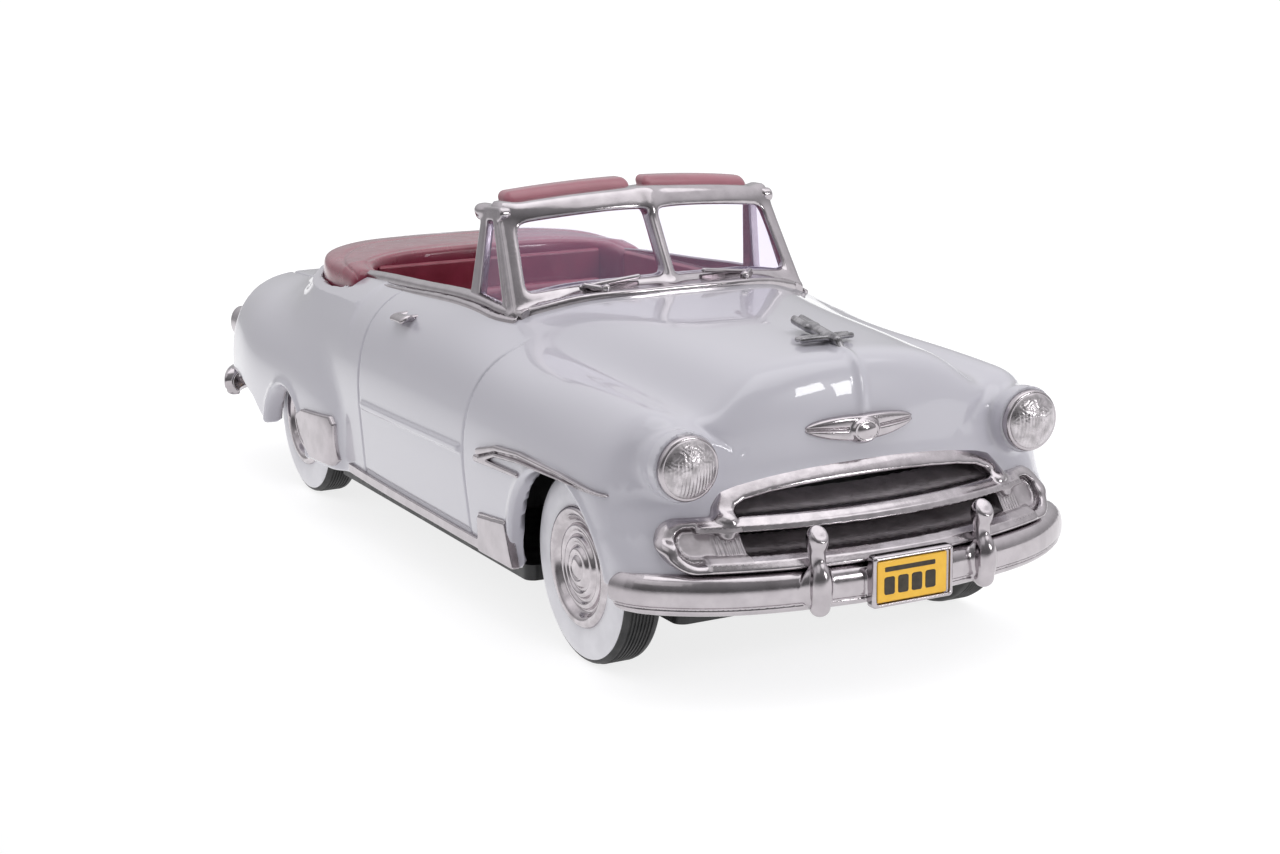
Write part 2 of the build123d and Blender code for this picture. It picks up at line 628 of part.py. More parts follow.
# ---------------------------------------------------------------- lamps
lamp_face = Plane(origin=(LAMP_X, LAMP_Y, LAMP_Z), x_dir=(1, 0, 0), z_dir=(0, 0, 1))
lamp_axis = Axis((LAMP_X, LAMP_Y, LAMP_Z), (0, -1, 0))
with BuildPart() as headlamp:
    with BuildSketch(lamp_face):
        with BuildLine():
            Polyline(
                (0, 3.0),
                (1.9, 3.0),
                (1.9, 0.6),
                (LAMP_R, 0.6),
                (LAMP_R, -0.4),
                (LAMP_R - 0.3, -0.9),
                (2.15, -0.8),
                (2.05, -0.2),
                (0, -0.2),
                (0, 3.0),
            )
        make_face()
    revolve(axis=lamp_axis)
with BuildPart() as lamp_lens:
    with BuildSketch(lamp_face):
        with BuildLine():
            Polyline((0, -0.2), (2.05, -0.2), (2.1, -0.5), (1.75, -0.9), (1.2, -1.25), (0.6, -1.44), (0, -1.5), (0, -0.2))
        make_face()
    revolve(axis=lamp_axis)
save(mirrored(headlamp.part), "headlamp_right")
save(headlamp.part, "headlamp_left")
save(mirrored(lamp_lens.part), "headlamp_lens_right")
save(lamp_lens.part, "headlamp_lens_left")

TAIL_X = 17.8
TAIL_Z = 15.4
with BuildPart() as tail_lamp:
    with BuildSketch(Plane.XZ.offset(-50.5)):
        with Locations((TAIL_X, TAIL_Z)):
            Ellipse(1.35, 1.9)
    extrude(amount=-3.6)
    with BuildSketch(Plane.XZ.offset(-53.6)):
        with Locations((TAIL_X, TAIL_Z)):
            Ellipse(1.0, 1.5)
    extrude(amount=-2, mode=Mode.SUBTRACT)
with BuildPart() as tail_lens:
    with BuildSketch(Plane.XZ.offset(-53.6)):
        with Locations((TAIL_X, TAIL_Z)):
            Ellipse(1.0, 1.5)
    extrude(amount=-0.9)
    fillet(tail_lens.faces().sort_by(Axis.Y)[-1].edges(), 0.3)
save(mirrored(tail_lamp.part), "tail_lamp_right")
save(tail_lamp.part, "tail_lamp_left")
save(Compound(children=[tail_lens.part, mirrored(tail_lens.part)]), "tail_lamp_lenses")

# ---------------------------------------------------------------- hood and trunk trim
with BuildPart() as hood_ornament:
    with BuildSketch(Plane.YZ):
        with BuildLine():
            Line((-50.7, 27.2), (-40.9, 27.2))
            Spline((-40.9, 27.2), (-43.5, 27.65), (-47.5, 27.8), (-50.7, 27.2))
        make_face()
    revolve(axis=Axis((0, -45, 27.2), (0, 1, 0)))
    with BuildSketch(Plane.XY.offset(27.0)):
        with BuildLine():
            Polyline((0, -48.6), (2.6, -45.0), (2.3, -43.9), (0, -44.8), (-2.3, -43.9), (-2.6, -45.0), (0, -48.6))
        make_face()
    extrude(amount=0.35)
    with BuildSketch(Plane.XY.offset(25.2)):
        with Locations((0, -46.3)):
            Ellipse(0.8, 2.4)
    extrude(amount=1.9)
save(hood_ornament.part, "hood_ornament")

BADGE_Z = 20.1
with BuildPart() as hood_badge:
    with BuildSketch(Plane.XZ.offset(51.6)):
        with BuildLine():
            Spline((-5.2, BADGE_Z - 0.3), (-3.0, BADGE_Z + 0.6), (0, BADGE_Z + 0.9), (3.0, BADGE_Z + 0.6), (5.2, BADGE_Z - 0.3))
            Spline((5.2, BADGE_Z - 0.3), (2.4, BADGE_Z - 0.75), (0, BADGE_Z - 0.8), (-2.4, BADGE_Z - 0.75), (-5.2, BADGE_Z - 0.3))
        make_face()
        with Locations((0, BADGE_Z)):
            Ellipse(1.5, 1.1)
    extrude(amount=1.5)
save(hood_badge.part, "hood_badge")

with BuildPart() as trunk_handle:
    with BuildSketch(Plane.XY.offset(15.2)):
        with Locations((0, 53.0)):
            Ellipse(0.7, 1.7)
    extrude(amount=3.0, dir=(0, -0.45, 1))
save(trunk_handle.part, "trunk_handle")

# ---------------------------------------------------------------- grille
GRILLE_X = 18.5
with BuildPart() as grille:
    add(bow_slab(-56.4, 11.6, BOW_R, GRILLE_RAKE, 1.7, 8, 20))
    with BuildSketch(Plane.XZ.offset(44)):
        # lower loop, which carries the parking lamps in its ends
        with Locations((0, 12.9)):
            SlotOverall(2 * GRILLE_X, 3.9)
            Rectangle(29.0, 2.3, mode=Mode.SUBTRACT)
        # arched upper bar
        with BuildLine():
            Spline((-14.3, 14.4), (-13.6, 16.0), (-11.6, 17.0), (0, 17.9), (11.6, 17.0), (13.6, 16.0), (14.3, 14.4))
            Line((14.3, 14.4), (12.8, 14.4))
            Spline((12.8, 14.4), (12.5, 15.4), (11.2, 16.0), (0, 16.8), (-11.2, 16.0), (-12.5, 15.4), (-12.8, 14.4))
            Line((-12.8, 14.4), (-14.3, 14.4))
        make_face()
    extrude(amount=20, mode=Mode.INTERSECT)
save(grille.part, "grille")

with BuildPart() as grille_backing:
    with BuildSketch(Plane.XZ.offset(47.0)):
        with BuildLine():
            Polyline((-16.8, 11.4), (16.8, 11.4), (16.8, 14.2), (12.6, 14.2), (12.6, 16.4), (-12.6, 16.4))
            Polyline((-12.6, 16.4), (-12.6, 14.2), (-16.8, 14.2), (-16.8, 11.4))
        make_face()
    extrude(amount=1.0)
save(grille_backing.part, "grille_backing")


# ---------------------------------------------------------------- bumpers and plates
def bumper_blade(outer, thick, low, high):
    """Wrap-round blade; outer is half of its plan, (x, y), from the middle to the tip."""
    toward = 1 if outer[0][1] < 0 else -1
    inner = [(x - thick * min(x / 20, 1) * 0.9, y + toward * thick * (1 - 0.6 * min(x / 20, 1))) for x, y in outer]
    full_outer = both_sides(outer)
    full_inner = both_sides(inner)
    with BuildPart() as blade:
        with BuildSketch(Plane.XY.offset(low)):
            with BuildLine():
                Spline(*full_outer)
                Line(full_outer[-1], full_inner[-1])
                Spline(*full_inner)
                Line(full_inner[0], full_outer[0])
            make_face()
        extrude(amount=high - low)
        chamfer(blade.edges().filter_by(lambda edge: edge.length > 40), 0.4)
    return blade.part


def bumper_guard(y, lean, low, high):
    """Upright guard on the bumper, bulged at the foot and rounded at the top."""
    height = high - low
    with BuildPart() as guard_post:
        for share, half_x, half_y in ((0, 0.9, 0.8), (0.25, 1.2, 1.1), (0.55, 0.95, 0.9), (0.85, 1.0, 0.9), (1, 0.7, 0.6)):
            with BuildSketch(Plane.XY.offset(low + share * height)):
                with Locations((0, y + lean * share)):
                    Ellipse(half_x, half_y)
        loft()
    return guard_post.part


GUARD_X = 7.75
FRONT_BLADE = [(0, -58.0), (8, -57.3), (14.6, -55.5), (18.8, -52.9), (20.9, -50.6), (21.6, -48.8)]
REAR_BLADE = [(0, 58.4), (8, 58.0), (14.6, 56.8), (18.8, 54.6), (20.9, 51.8), (21.6, 49.6)]
with BuildPart() as front_bumper:
    add(bumper_blade(FRONT_BLADE, 1.2, 7.7, 11.1))
    front_guard = bumper_guard(-57.6, 0.5, 7.4, 14.6)
    add(front_guard.moved(Location((GUARD_X, 0, 0))))
    add(front_guard.moved(Location((-GUARD_X, 0, 0))))
    with Locations((0, -58.2, 9.6)):
        Box(7.9, 1.2, 4.2)
    with Locations((0, -58.8, 9.6)):
        Box(7.1, 0.5, 3.4, mode=Mode.SUBTRACT)
    # irons that carry the bumper on the body
    with Locations((-11.0, -55.0, 9.3), (11.0, -55.0, 9.3)):
        Box(2.0, 3.6, 1.2)
save(front_bumper.part, "front_bumper")
with BuildPart() as front_plate:
    with Locations((0, -58.65, 9.6)):
        Box(7.1, 0.2, 3.4)
save(front_plate.part, "front_plate")

with BuildPart() as rear_bumper:
    add(bumper_blade(REAR_BLADE, 1.2, 7.3, 10.6))
    rear_guard = bumper_guard(58.0, -0.4, 7.0, 13.4)
    add(rear_guard.moved(Location((GUARD_X, 0, 0))))
    add(rear_guard.moved(Location((-GUARD_X, 0, 0))))
    with Locations((-11.0, 56.0, 9.0), (11.0, 56.0, 9.0)):
        Box(2.0, 3.2, 1.2)
save(rear_bumper.part, "rear_bumper")
with BuildPart() as rear_plate:
    with Locations((0, 55.3, 12.4)):
        Box(7.4, 0.7, 3.6)
save(rear_plate.part, "rear_plate")
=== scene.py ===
import math

import bmesh
import bpy
import numpy as np
import openvdb
from mathutils import Matrix, Vector


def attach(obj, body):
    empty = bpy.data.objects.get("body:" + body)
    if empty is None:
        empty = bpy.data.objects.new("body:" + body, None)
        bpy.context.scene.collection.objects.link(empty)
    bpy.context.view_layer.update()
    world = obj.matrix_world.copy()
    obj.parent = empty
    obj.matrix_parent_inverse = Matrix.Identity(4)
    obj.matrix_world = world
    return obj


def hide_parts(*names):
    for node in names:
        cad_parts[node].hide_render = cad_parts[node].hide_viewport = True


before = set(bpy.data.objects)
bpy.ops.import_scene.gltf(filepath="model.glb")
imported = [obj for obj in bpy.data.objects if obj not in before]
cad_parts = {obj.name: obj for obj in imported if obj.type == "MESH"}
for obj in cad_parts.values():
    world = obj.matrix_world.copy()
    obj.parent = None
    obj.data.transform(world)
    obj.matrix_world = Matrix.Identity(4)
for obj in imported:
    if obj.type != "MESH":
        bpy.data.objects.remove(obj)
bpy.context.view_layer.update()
MM = 0.001

# ---------------------------------------------------------------- splines


def natural_spline(knots, values, at):
    """Natural cubic spline through (knots, values), evaluated at 'at'. Values may be 2-D (knot, channel)."""
    t = np.asarray(knots, float)
    v = np.asarray(values, float)
    flat = v.ndim == 1
    if flat:
        v = v[:, None]
    n = len(t)
    h = np.diff(t)
    rows = np.zeros((n, n))
    right = np.zeros_like(v)
    rows[0, 0] = rows[-1, -1] = 1
    for i in range(1, n - 1):
        rows[i, i - 1] = h[i - 1]
        rows[i, i] = 2 * (h[i - 1] + h[i])
        rows[i, i + 1] = h[i]
        right[i] = 3 * ((v[i + 1] - v[i]) / h[i] - (v[i] - v[i - 1]) / h[i - 1])
    c = np.linalg.solve(rows, right)
    b = np.diff(v, axis=0) / h[:, None] - h[:, None] * (2 * c[:-1] + c[1:]) / 3
    d = np.diff(c, axis=0) / (3 * h[:, None])
    a = np.asarray(at, float)
    clipped = np.clip(a, t[0], t[-1])
    i = np.clip(np.searchsorted(t, clipped, side="right") - 1, 0, n - 2)
    s = (clipped - t[i])[..., None]
    out = v[i] + s * (b[i] + s * (c[i] + s * d[i]))
    return out[..., 0] if flat else out


def smin(a, b, k):
    """Smooth minimum: a filleted union of two distances."""
    h = np.maximum(k - np.abs(a - b), 0) / k
    return np.minimum(a, b) - h * h * h * k / 6


def smax(a, b, k):
    """Smooth maximum: a rounded intersection of two distances."""
    return -smin(-a, -b, k)


# ---------------------------------------------------------------- body form
# Half sections of the hull from nose to tail, millimetres: y, then (x, z) from the
# centre line over the hood, the valley, the fender crown and the shoulder to the sill.
HULL = [
    (
        -60.0, (0, 25.4), (5, 25.1), (9.6, 23.6), (13.2, 21.6), (16.2, 21.7), (18.9, 20.4), (20.2, 16.6),
        (20.2, 11), (19.8, 6.5), (19.2, 2.5),
    ),
    (
        -50.0, (0, 26.0), (5, 25.7), (9.8, 24.2), (13.4, 22.0), (16.3, 22.4), (19.2, 20.9), (20.8, 16.8),
        (20.8, 11), (20.4, 6.5), (19.8, 2.5),
    ),
    (
        -42.0, (0, 26.5), (5, 26.25), (9.9, 25.0), (13.7, 22.7), (16.7, 22.9), (19.6, 21.2), (21.2, 17.0),
        (21.1, 11), (20.8, 6.5), (20.2, 2.5),
    ),
    (
        -34.0, (0, 26.95), (5, 26.75), (10.0, 25.7), (14.0, 23.5), (17.0, 23.2), (19.8, 21.5), (21.3, 17.2),
        (21.2, 11), (20.9, 6.5), (20.3, 2.5),
    ),
    (
        -26.0, (0, 27.3), (5, 27.2), (10.1, 26.5), (14.3, 24.6), (17.3, 23.6), (19.9, 21.8), (21.35, 17.3),
        (21.3, 11), (21.0, 6.5), (20.4, 2.5),
    ),
    (
        -16.0, (0, 27.6), (5, 27.55), (10.2, 27.4), (14.6, 26.2), (17.7, 24.6), (20.0, 22.2), (21.35, 17.3),
        (21.3, 11), (21.0, 6.5), (20.4, 2.5),
    ),
    (
        0.0, (0, 27.6), (5, 27.4), (10.4, 26.9), (14.8, 26.0), (17.8, 24.5), (19.9, 22.1), (21.2, 17.1),
        (21.15, 11), (20.9, 6.5), (20.3, 2.5),
    ),
    (
        14.0, (0, 26.9), (5, 26.8), (10.2, 26.3), (14.7, 25.4), (17.5, 24.1), (19.5, 21.6), (20.8, 16.8),
        (20.8, 11), (20.5, 6.5), (20.0, 2.5),
    ),
    (
        26.0, (0, 26.2), (5, 26.0), (9.8, 25.4), (14.2, 24.4), (17.0, 23.1), (18.9, 20.8), (20.2, 16.4),
        (20.2, 11), (19.9, 6.5), (19.4, 2.5),
    ),
    (
        38.0, (0, 24.2), (5, 24.0), (9.4, 23.4), (13.4, 22.3), (16.2, 20.9), (18.2, 18.8), (19.4, 15.2),
        (19.4, 11), (19.0, 6.5), (18.4, 2.5),
    ),
    (
        48.0, (0, 21.2), (4.8, 21.0), (9.0, 20.4), (12.8, 19.4), (15.4, 18.2), (17.2, 16.6), (18.4, 14.0),
        (18.4, 11), (18.0, 6.5), (17.4, 2.5),
    ),
    (
        60.0, (0, 16.8), (4.6, 16.6), (8.6, 16.2), (12.0, 15.4), (14.4, 14.6), (16.2, 13.4), (17.4, 12.0),
        (17.4, 10), (17.0, 6.5), (16.4, 2.5),
    ),
]
# Rear fender: y, outer x, crown z, middle z of its bulge.
REAR_FENDER = [
    (9.0, 20.5, 15.5, 9.0),
    (11.0, 21.3, 17.6, 9.0),
    (14.0, 21.8, 19.6, 9.2),
    (19.0, 22.0, 21.2, 9.5),
    (26.0, 22.0, 21.9, 9.8),
    (34.0, 21.9, 21.9, 10.0),
    (42.0, 21.5, 21.8, 10.4),
    (50.0, 20.3, 21.4, 11.0),
    (58.0, 18.9, 20.8, 11.6),
]
SILL_LINE = [
    (-60, 9.6), (-48, 9.4), (-46.6, 9.0), (-44, 6.4), (-30, 6.15), (20, 6.0), (26, 6.4), (33, 6.9),
    (35.5, 7.7), (38.5, 9.2), (44, 10.4), (60, 10.4),
]
NOSE_LINE = [
    (0, -55.6), (5, -56.0), (10.8, -56.4), (13.0, -55.2), (16.0, -52.9), (18.5, -52.1), (21.0, -51.9),
    (24, -51.4), (30, -50.2),
]
TAIL_LINE = [(0, 53.8), (6, 54.4), (10, 54.7), (13, 54.7), (17, 54.4), (21, 54.0), (30, 52.0)]
HUB_Z = 12.0
THETA = np.linspace(math.radians(-46), math.radians(90), 400)
STATION = np.linspace(-60, 60, 361)


def hull_table():
    """Radius of the hull about the axis (0, HUB_Z) for every station and angle."""
    stations = [row[0] for row in HULL]
    points = np.array([row[1:] for row in HULL], float)
    table = np.zeros((len(STATION), len(THETA)))
    lists = points.reshape(len(stations), -1)
    control = natural_spline(stations, lists, STATION).reshape(len(STATION), -1, 2)
    for i, half in enumerate(control):
        full = np.vstack([half[::-1], half[1:] * (-1, 1)])
        steps = np.linalg.norm(np.diff(full, axis=0), axis=1) ** 0.5
        t = np.concatenate([[0], np.cumsum(steps)])
        fine = natural_spline(t, full, np.linspace(0, t[len(half) - 1], 500))
        angle = np.arctan2(fine[:, 1] - HUB_Z, np.maximum(fine[:, 0], 0))
        radius = np.hypot(fine[:, 0], fine[:, 1] - HUB_Z)
        order = np.argsort(angle)
        table[i] = np.interp(THETA, angle[order], radius[order])
    return table


RADIUS = hull_table()
BY_Y, BY_THETA = np.gradient(RADIUS, STATION, THETA)
STEEP = 1 / np.sqrt(1 + (BY_THETA / RADIUS) ** 2 + BY_Y**2)


def cubic_weights(f):
    """Catmull-Rom weights of the four samples around a fraction f."""
    f2, f3 = f * f, f * f * f
    return (
        -0.5 * f + f2 - 0.5 * f3,
        1 - 2.5 * f2 + 1.5 * f3,
        0.5 * f + 2 * f2 - 1.5 * f3,
        -0.5 * f2 + 0.5 * f3,
    )


def lookup(table, y, theta):
    """Bicubic reading of a (STATION, THETA) table."""
    u = np.clip((y - STATION[0]) / (STATION[1] - STATION[0]), 0, len(STATION) - 1.001)
    v = np.clip((theta - THETA[0]) / (THETA[1] - THETA[0]), 0, len(THETA) - 1.001)
    i, j = u.astype(int), v.astype(int)
    wu, wv = cubic_weights(u - i), cubic_weights(v - j)
    out = np.zeros_like(y)
    for a in range(4):
        row = np.clip(i + a - 1, 0, len(STATION) - 1)
        for b in range(4):
            col = j + b - 1
            col = np.where(col < 0, 0, col)
            col = np.where(col > len(THETA) - 1, 2 * (len(THETA) - 1) - col, col)
            out += wu[a] * wv[b] * table[row, col]
    return out


def curve(rows, at, column=1):
    """Smooth 1-D curve through one column of rows that start with the knot, by a finely sampled spline."""
    knots = [row[0] for row in rows]
    values = [row[column] for row in rows]
    grid = np.linspace(knots[0], knots[-1], 600)
    return np.interp(at, grid, natural_spline(knots, values, grid))


def outer_form(x, y, z):
    """Distance to the outside of the bodywork before anything is cut into it."""
    ax = np.abs(x)
    theta = np.arctan2(z - HUB_Z, np.maximum(ax, 1e-6))
    r = np.hypot(ax, z - HUB_Z)
    hull = (r - lookup(RADIUS, y, theta)) * lookup(STEEP, y, theta)
    out_x, crown, mid = (curve(REAR_FENDER, y, column) for column in (1, 2, 3))
    a = (ax - 9.0) / (out_x - 9.0)
    up = np.maximum(z - mid, 0) / (crown - mid)
    fender = (np.maximum(a, 0) ** 2.9 + up**2.6) ** (1 / 2.75) - 1
    fender = fender * 9.0
    front = 10.4 + 0.02 * (z - 14.0) ** 2 - y
    fender = smax(fender, front, 2.6)
    form = smin(hull, fender, 1.4)
    bow = 0.0125 - 0.0038 * np.clip((z - 13.5) / 3.5, 0, 1)
    nose = curve(NOSE_LINE, z) + bow * ax * ax - y
    corner = 0.0016 * np.maximum(ax - 12, 0) ** 3
    form = smax(form, nose + corner, 3.4)
    tail = y - (curve(TAIL_LINE, z) - ax * ax / 150 - 0.0007 * np.maximum(ax - 9, 0) ** 3)
    return smax(form, tail, 1.9)


FRONT_AXLE = (-38.4, 8.2)
REAR_AXLE = (29.5, 8.2)
FRONT_ARCH = (-38.5, 7.8, 8.6)  # y, z and radius of the opening
REAR_ARCH = (26.9, 5.6, 6.9)
HEADLAMP = (16.2, 19.0)  # x and z of its middle
DOOR_CREASE = 7.7  # z of the line along the foot of the door
DOOR_STRIP = (14.9, -20.0, 0.02, 0.36)  # z at its front end, y there, fall per mm and half height
GAP = (0.16, 0.17)  # width and depth of the door gaps
DOOR_FRONT = [
    (2, -21.6), (8, -21.5), (15.2, -21.0), (17.1, -21.3), (20.5, -22.3), (23.6, -23.3), (25.8, -22.9),
    (29, -21.5),
]
DOOR_REAR = [(2, 5.0), (8, 5.2), (15, 5.5), (20, 5.7), (24, 5.4), (29, 4.6)]


def boot_plan(ax, y):
    """Rough distance in plan to the outline of the well for the folded top."""
    u = ax / 17.2
    v = np.maximum(y - 21.0, 0) / 13.6
    return ((u**3 + v**3 + 1e-9) ** (1 / 3) - 1) * 15.0


def groove(distance, width, depth):
    """Inward dent of a panel gap."""
    return depth * np.exp(-((distance / width) ** 2))


def plateau(distance, half, edge):
    """1 inside a strip of the given half width, falling to 0 over edge."""
    return 1 / (1 + np.exp(np.clip((distance - half) / edge, -40, 40)))


def strip_middle(y):
    """Height of the body-colour strip along the door."""
    start_z, start_y, fall, _ = DOOR_STRIP
    return start_z - fall * (y - start_y)


def skin(x, y, z):
    """Outer surface with its raised and engraved detail."""
    ax = np.abs(x)
    form = outer_form(x, y, z)
    # flange of the tulip panel that rises to the folded top
    over = z - 26.6 + 0.018 * (ax - 4) ** 2 * (ax > 4)
    collar = np.maximum(boot_plan(ax, y) - 0.7, np.maximum(over, 12 - y))
    form = smin(form, collar, 3.2)
    # crease down the middle of the hood above the badge
    form = form - 0.22 * np.exp(-((x / 0.45) ** 2)) * plateau(y + 43.0, 0, 1.2) * plateau(21.4 - z, 0, 0.3)
    side = plateau(16.5 - ax, 0, 0.3)
    line_front = curve(DOOR_FRONT, z)
    line_rear = curve(DOOR_REAR, z)
    form = form + side * groove(y - line_front, *GAP)
    form = form + side * groove(y - line_rear, *GAP)
    in_door = plateau(line_front - y, 0, 0.15) * plateau(y - line_rear, 0, 0.15)
    form = form + side * in_door * groove(z - DOOR_CREASE, 0.16, 0.16)
    # body-colour strip pressed along the door
    strip_z, half_strip = strip_middle(y), DOOR_STRIP[3]
    along = plateau(-20.4 - y, 0, 0.1) * plateau(y - 4.6, 0, 0.1)
    form = form - side * along * 0.34 * plateau(np.abs(z - strip_z), half_strip, 0.05)
    # trunk lid line
    lid = np.abs(boot_lid(ax, y))
    form = form + groove(lid, 0.17, 0.26) * plateau(36.2 - y, 0, 0.3) * plateau(12.0 - z, 0, 0.2)
    # rolled lips of the wheel arches
    for axle_y, centre_z, radius in (FRONT_ARCH, REAR_ARCH):
        lip = np.hypot(y - axle_y, z - centre_z) - radius - 0.35
        form = form - 0.16 * np.exp(-((lip / 0.4) ** 2)) * side
    return form


def boot_lid(ax, y):
    """Plan distance to the gap around the trunk lid."""
    side = ax - (12.6 - 0.0042 * (y - 37) ** 2)
    corner = np.hypot(np.maximum(ax - 9.6, 0), np.maximum(40.0 - y, 0)) - 3.0
    return np.where(y > 37.0, side, corner)


def body_form(x, y, z):
    """The painted casting: skin, hollow inside, arches, cockpit and grille opening."""
    ax = np.abs(x)
    form = skin(x, y, z)
    sill = np.interp(y, *zip(*SILL_LINE)) - z
    form = smax(form, sill, 0.8)
    cavity = np.maximum(outer_form(x, y, z) + 1.5, np.maximum(-46.0 - y, y - 50.0))
    form = smax(form, -cavity, 0.3)
    cockpit = np.maximum(ax - 15.0, np.maximum(-19.3 + 0.0113 * x * x - y, y - 20.0))
    form = smax(form, -np.maximum(cockpit, 14.0 - z), 0.35)
    well = np.maximum(boot_plan(ax, y), np.maximum(16.6 - y, 14.0 - z))
    form = smax(form, -well, 0.35)
    for axle_y, centre_z, radius in (FRONT_ARCH, REAR_ARCH):
        arch = np.maximum(np.hypot(y - axle_y, z - centre_z) - radius, 13.0 - ax)
        form = smax(form, -arch, 0.5)
    for axle_y, axle_z in (FRONT_AXLE, REAR_AXLE):
        well = np.maximum(np.hypot(y - axle_y, z - axle_z) - 9.0, np.maximum(13.0 - ax, ax - 19.5))
        form = smax(form, -well, 0.3)
    lower = np.maximum(ax - 16.9, np.abs(z - 12.85) - 1.5)
    upper = np.maximum(ax - 12.8, np.abs(z - 15.2) - 1.6 + 0.006 * x * x)
    mouth = np.maximum(smin(lower, upper, 0.6), y + 45.0)
    form = smax(form, -mouth, 0.4)
    lamp = np.hypot(ax - HEADLAMP[0], z - HEADLAMP[1])
    mount = lamp - 2.8 + 0.22 * np.maximum(y + 51.0, 0)
    return smin(form, np.maximum(mount, np.maximum(-52.0 - y, y + 43.0)), 1.5)


def gradient(field, points, step=0.02):
    """Central-difference gradient of a field at an (n, 3) array of points."""
    out = np.zeros_like(points)
    for axis in range(3):
        ahead = points.copy()
        behind = points.copy()
        ahead[:, axis] += step
        behind[:, axis] -= step
        out[:, axis] = (field(*ahead.T) - field(*behind.T)) / (2 * step)
    return out


def project(field, points, rounds=4, limit=0.25):
    """Move points on to the zero surface of a field."""
    for _ in range(rounds):
        slope = gradient(field, points)
        size = np.maximum((slope**2).sum(1), 1e-3)
        shift = (field(*points.T) / size)[:, None] * slope
        length = np.linalg.norm(shift, axis=1, keepdims=True)
        points = points - shift * np.minimum(1, limit / np.maximum(length, 1e-9))
    return points


def relax(field, points, quads, cell):
    """Slide mesh points along the surface towards the middle of their neighbours, so no face is a sliver."""
    sides = np.concatenate([quads[:, (k, (k + 1) % 4)] for k in range(4)])
    first, second = np.concatenate([sides, sides[:, ::-1]]).T
    count = np.maximum(np.bincount(first, minlength=len(points)), 1)[:, None]
    for _ in range(3):
        total = [np.bincount(first, points[second, axis], minlength=len(points)) for axis in range(3)]
        shift = np.stack(total, axis=1) / count - points
        length = np.linalg.norm(shift, axis=1, keepdims=True)
        points = points + shift * np.minimum(0.6, 0.25 * cell / np.maximum(length, 1e-9))
        points = project(field, points, rounds=2)
    return points


def surface_of(field, low, high, cell, refine, wanted):
    """Quad-dominant mesh of a field's zero surface, refined where wanted(mesh points, level) says so."""
    axes = [np.arange(a, b + cell, cell) for a, b in zip(low, high)]
    shape = [len(a) for a in axes]
    gx, gy, gz = np.meshgrid(*axes, indexing="ij")
    values = field(gx.ravel(), gy.ravel(), gz.ravel()).reshape(shape)
    grid = openvdb.FloatGrid(background=3.0)
    grid.copyFromArray(values.astype(np.float32))
    points, quads = grid.convertToQuads(isovalue=0.0)
    points = np.asarray(points, float) * cell + np.array([a[0] for a in axes])
    points = project(field, points, rounds=4)
    quads = np.asarray(quads)[:, ::-1]
    points = relax(field, points, quads, cell)
    mesh = bmesh.new()
    made = [mesh.verts.new(p) for p in points]
    for quad in quads:
        mesh.faces.new([made[i] for i in quad])
    mesh.normal_update()
    some = list(mesh.faces)[:: max(1, len(mesh.faces) // 200)]
    slope = gradient(field, np.array([f.calc_center_median()[:] for f in some]))
    if sum(f.normal.dot(Vector(g)) for f, g in zip(some, slope)) < 0:
        bmesh.ops.reverse_faces(mesh, faces=mesh.faces)
    for level in range(refine):
        mesh.verts.ensure_lookup_table()
        mesh.edges.ensure_lookup_table()
        mesh.verts.index_update()
        mesh.normal_update()
        chosen = wanted(mesh, level)
        if not chosen:
            continue
        before = set(mesh.verts)
        bmesh.ops.subdivide_edges(mesh, edges=chosen, cuts=1, use_grid_fill=True)
        mesh.verts.ensure_lookup_table()
        fresh = [v for v in mesh.verts if v not in before]
        moved = project(field, np.array([v.co[:] for v in fresh]), rounds=4, limit=0.12)
        for vert, place in zip(fresh, moved):
            vert.co = place
    many_sided = [f for f in mesh.faces if len(f.verts) > 4]
    if many_sided:
        bmesh.ops.triangulate(mesh, faces=many_sided, ngon_method="BEAUTY")
    return mesh


def curved(angle, shortest, near=None, seen=None):
    """Chooser of edges to split: those that bend more than angle, or lie where near(points) is true."""
    limit = math.radians(angle)

    def choose(mesh, level):
        picked = set()
        shown = seen(np.array([v.co[:] for v in mesh.verts])) if seen else None
        for edge in mesh.edges:
            if shown is not None and not shown[edge.verts[0].index]:
                continue
            inner = len(edge.link_faces) == 2
            if inner and edge.calc_length() > shortest and edge.calc_face_angle(0) > limit:
                for face in edge.link_faces:
                    picked.update(face.edges)
        if near is not None:
            close = near(np.array([v.co[:] for v in mesh.verts]), level)
            for vert in np.array(mesh.verts)[close]:
                for face in vert.link_faces:
                    picked.update(edge for edge in face.edges if edge.calc_length() > shortest)
        return list(picked)

    return choose


# ---------------------------------------------------------------- pieces
SCENE = bpy.context.scene.collection
FINEST_EDGE = 0.05


def as_object(name, mesh, field=None):
    """Blender object in metres from a millimetre bmesh, with normals read from its field."""
    data = bpy.data.meshes.new(name)
    mesh.normal_update()
    if field is not None:
        points = np.array([v.co[:] for v in mesh.verts])
        normals = gradient(field, points, 0.03)
        normals /= np.maximum(np.linalg.norm(normals, axis=1, keepdims=True), 1e-9)
    for vert in mesh.verts:
        vert.co *= MM
    mesh.to_mesh(data)
    data.shade_smooth()
    if field is not None:
        data.normals_split_custom_set_from_vertices(normals.tolist())
    mesh.free()
    thing = bpy.data.objects.new(name, data)
    SCENE.objects.link(thing)
    return thing


def dress(thing, look, node, body="body"):
    """Give a piece its material, hide the CAD node it stands in for and hang it on the body it rides on."""
    thing.data.materials.append(look.material)
    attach(thing, body)
    if node:
        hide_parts(*([node] if isinstance(node, str) else node))
    return thing


def casting(name, field, low, high, cell, look, node, slot, refine=0, angle=14):
    """A cast or moulded piece given by a field inside the box from low to high."""
    mesh = surface_of(field, low, high, cell, refine, curved(angle, FINEST_EDGE))
    return dress(as_object(name, mesh, field), look, node)


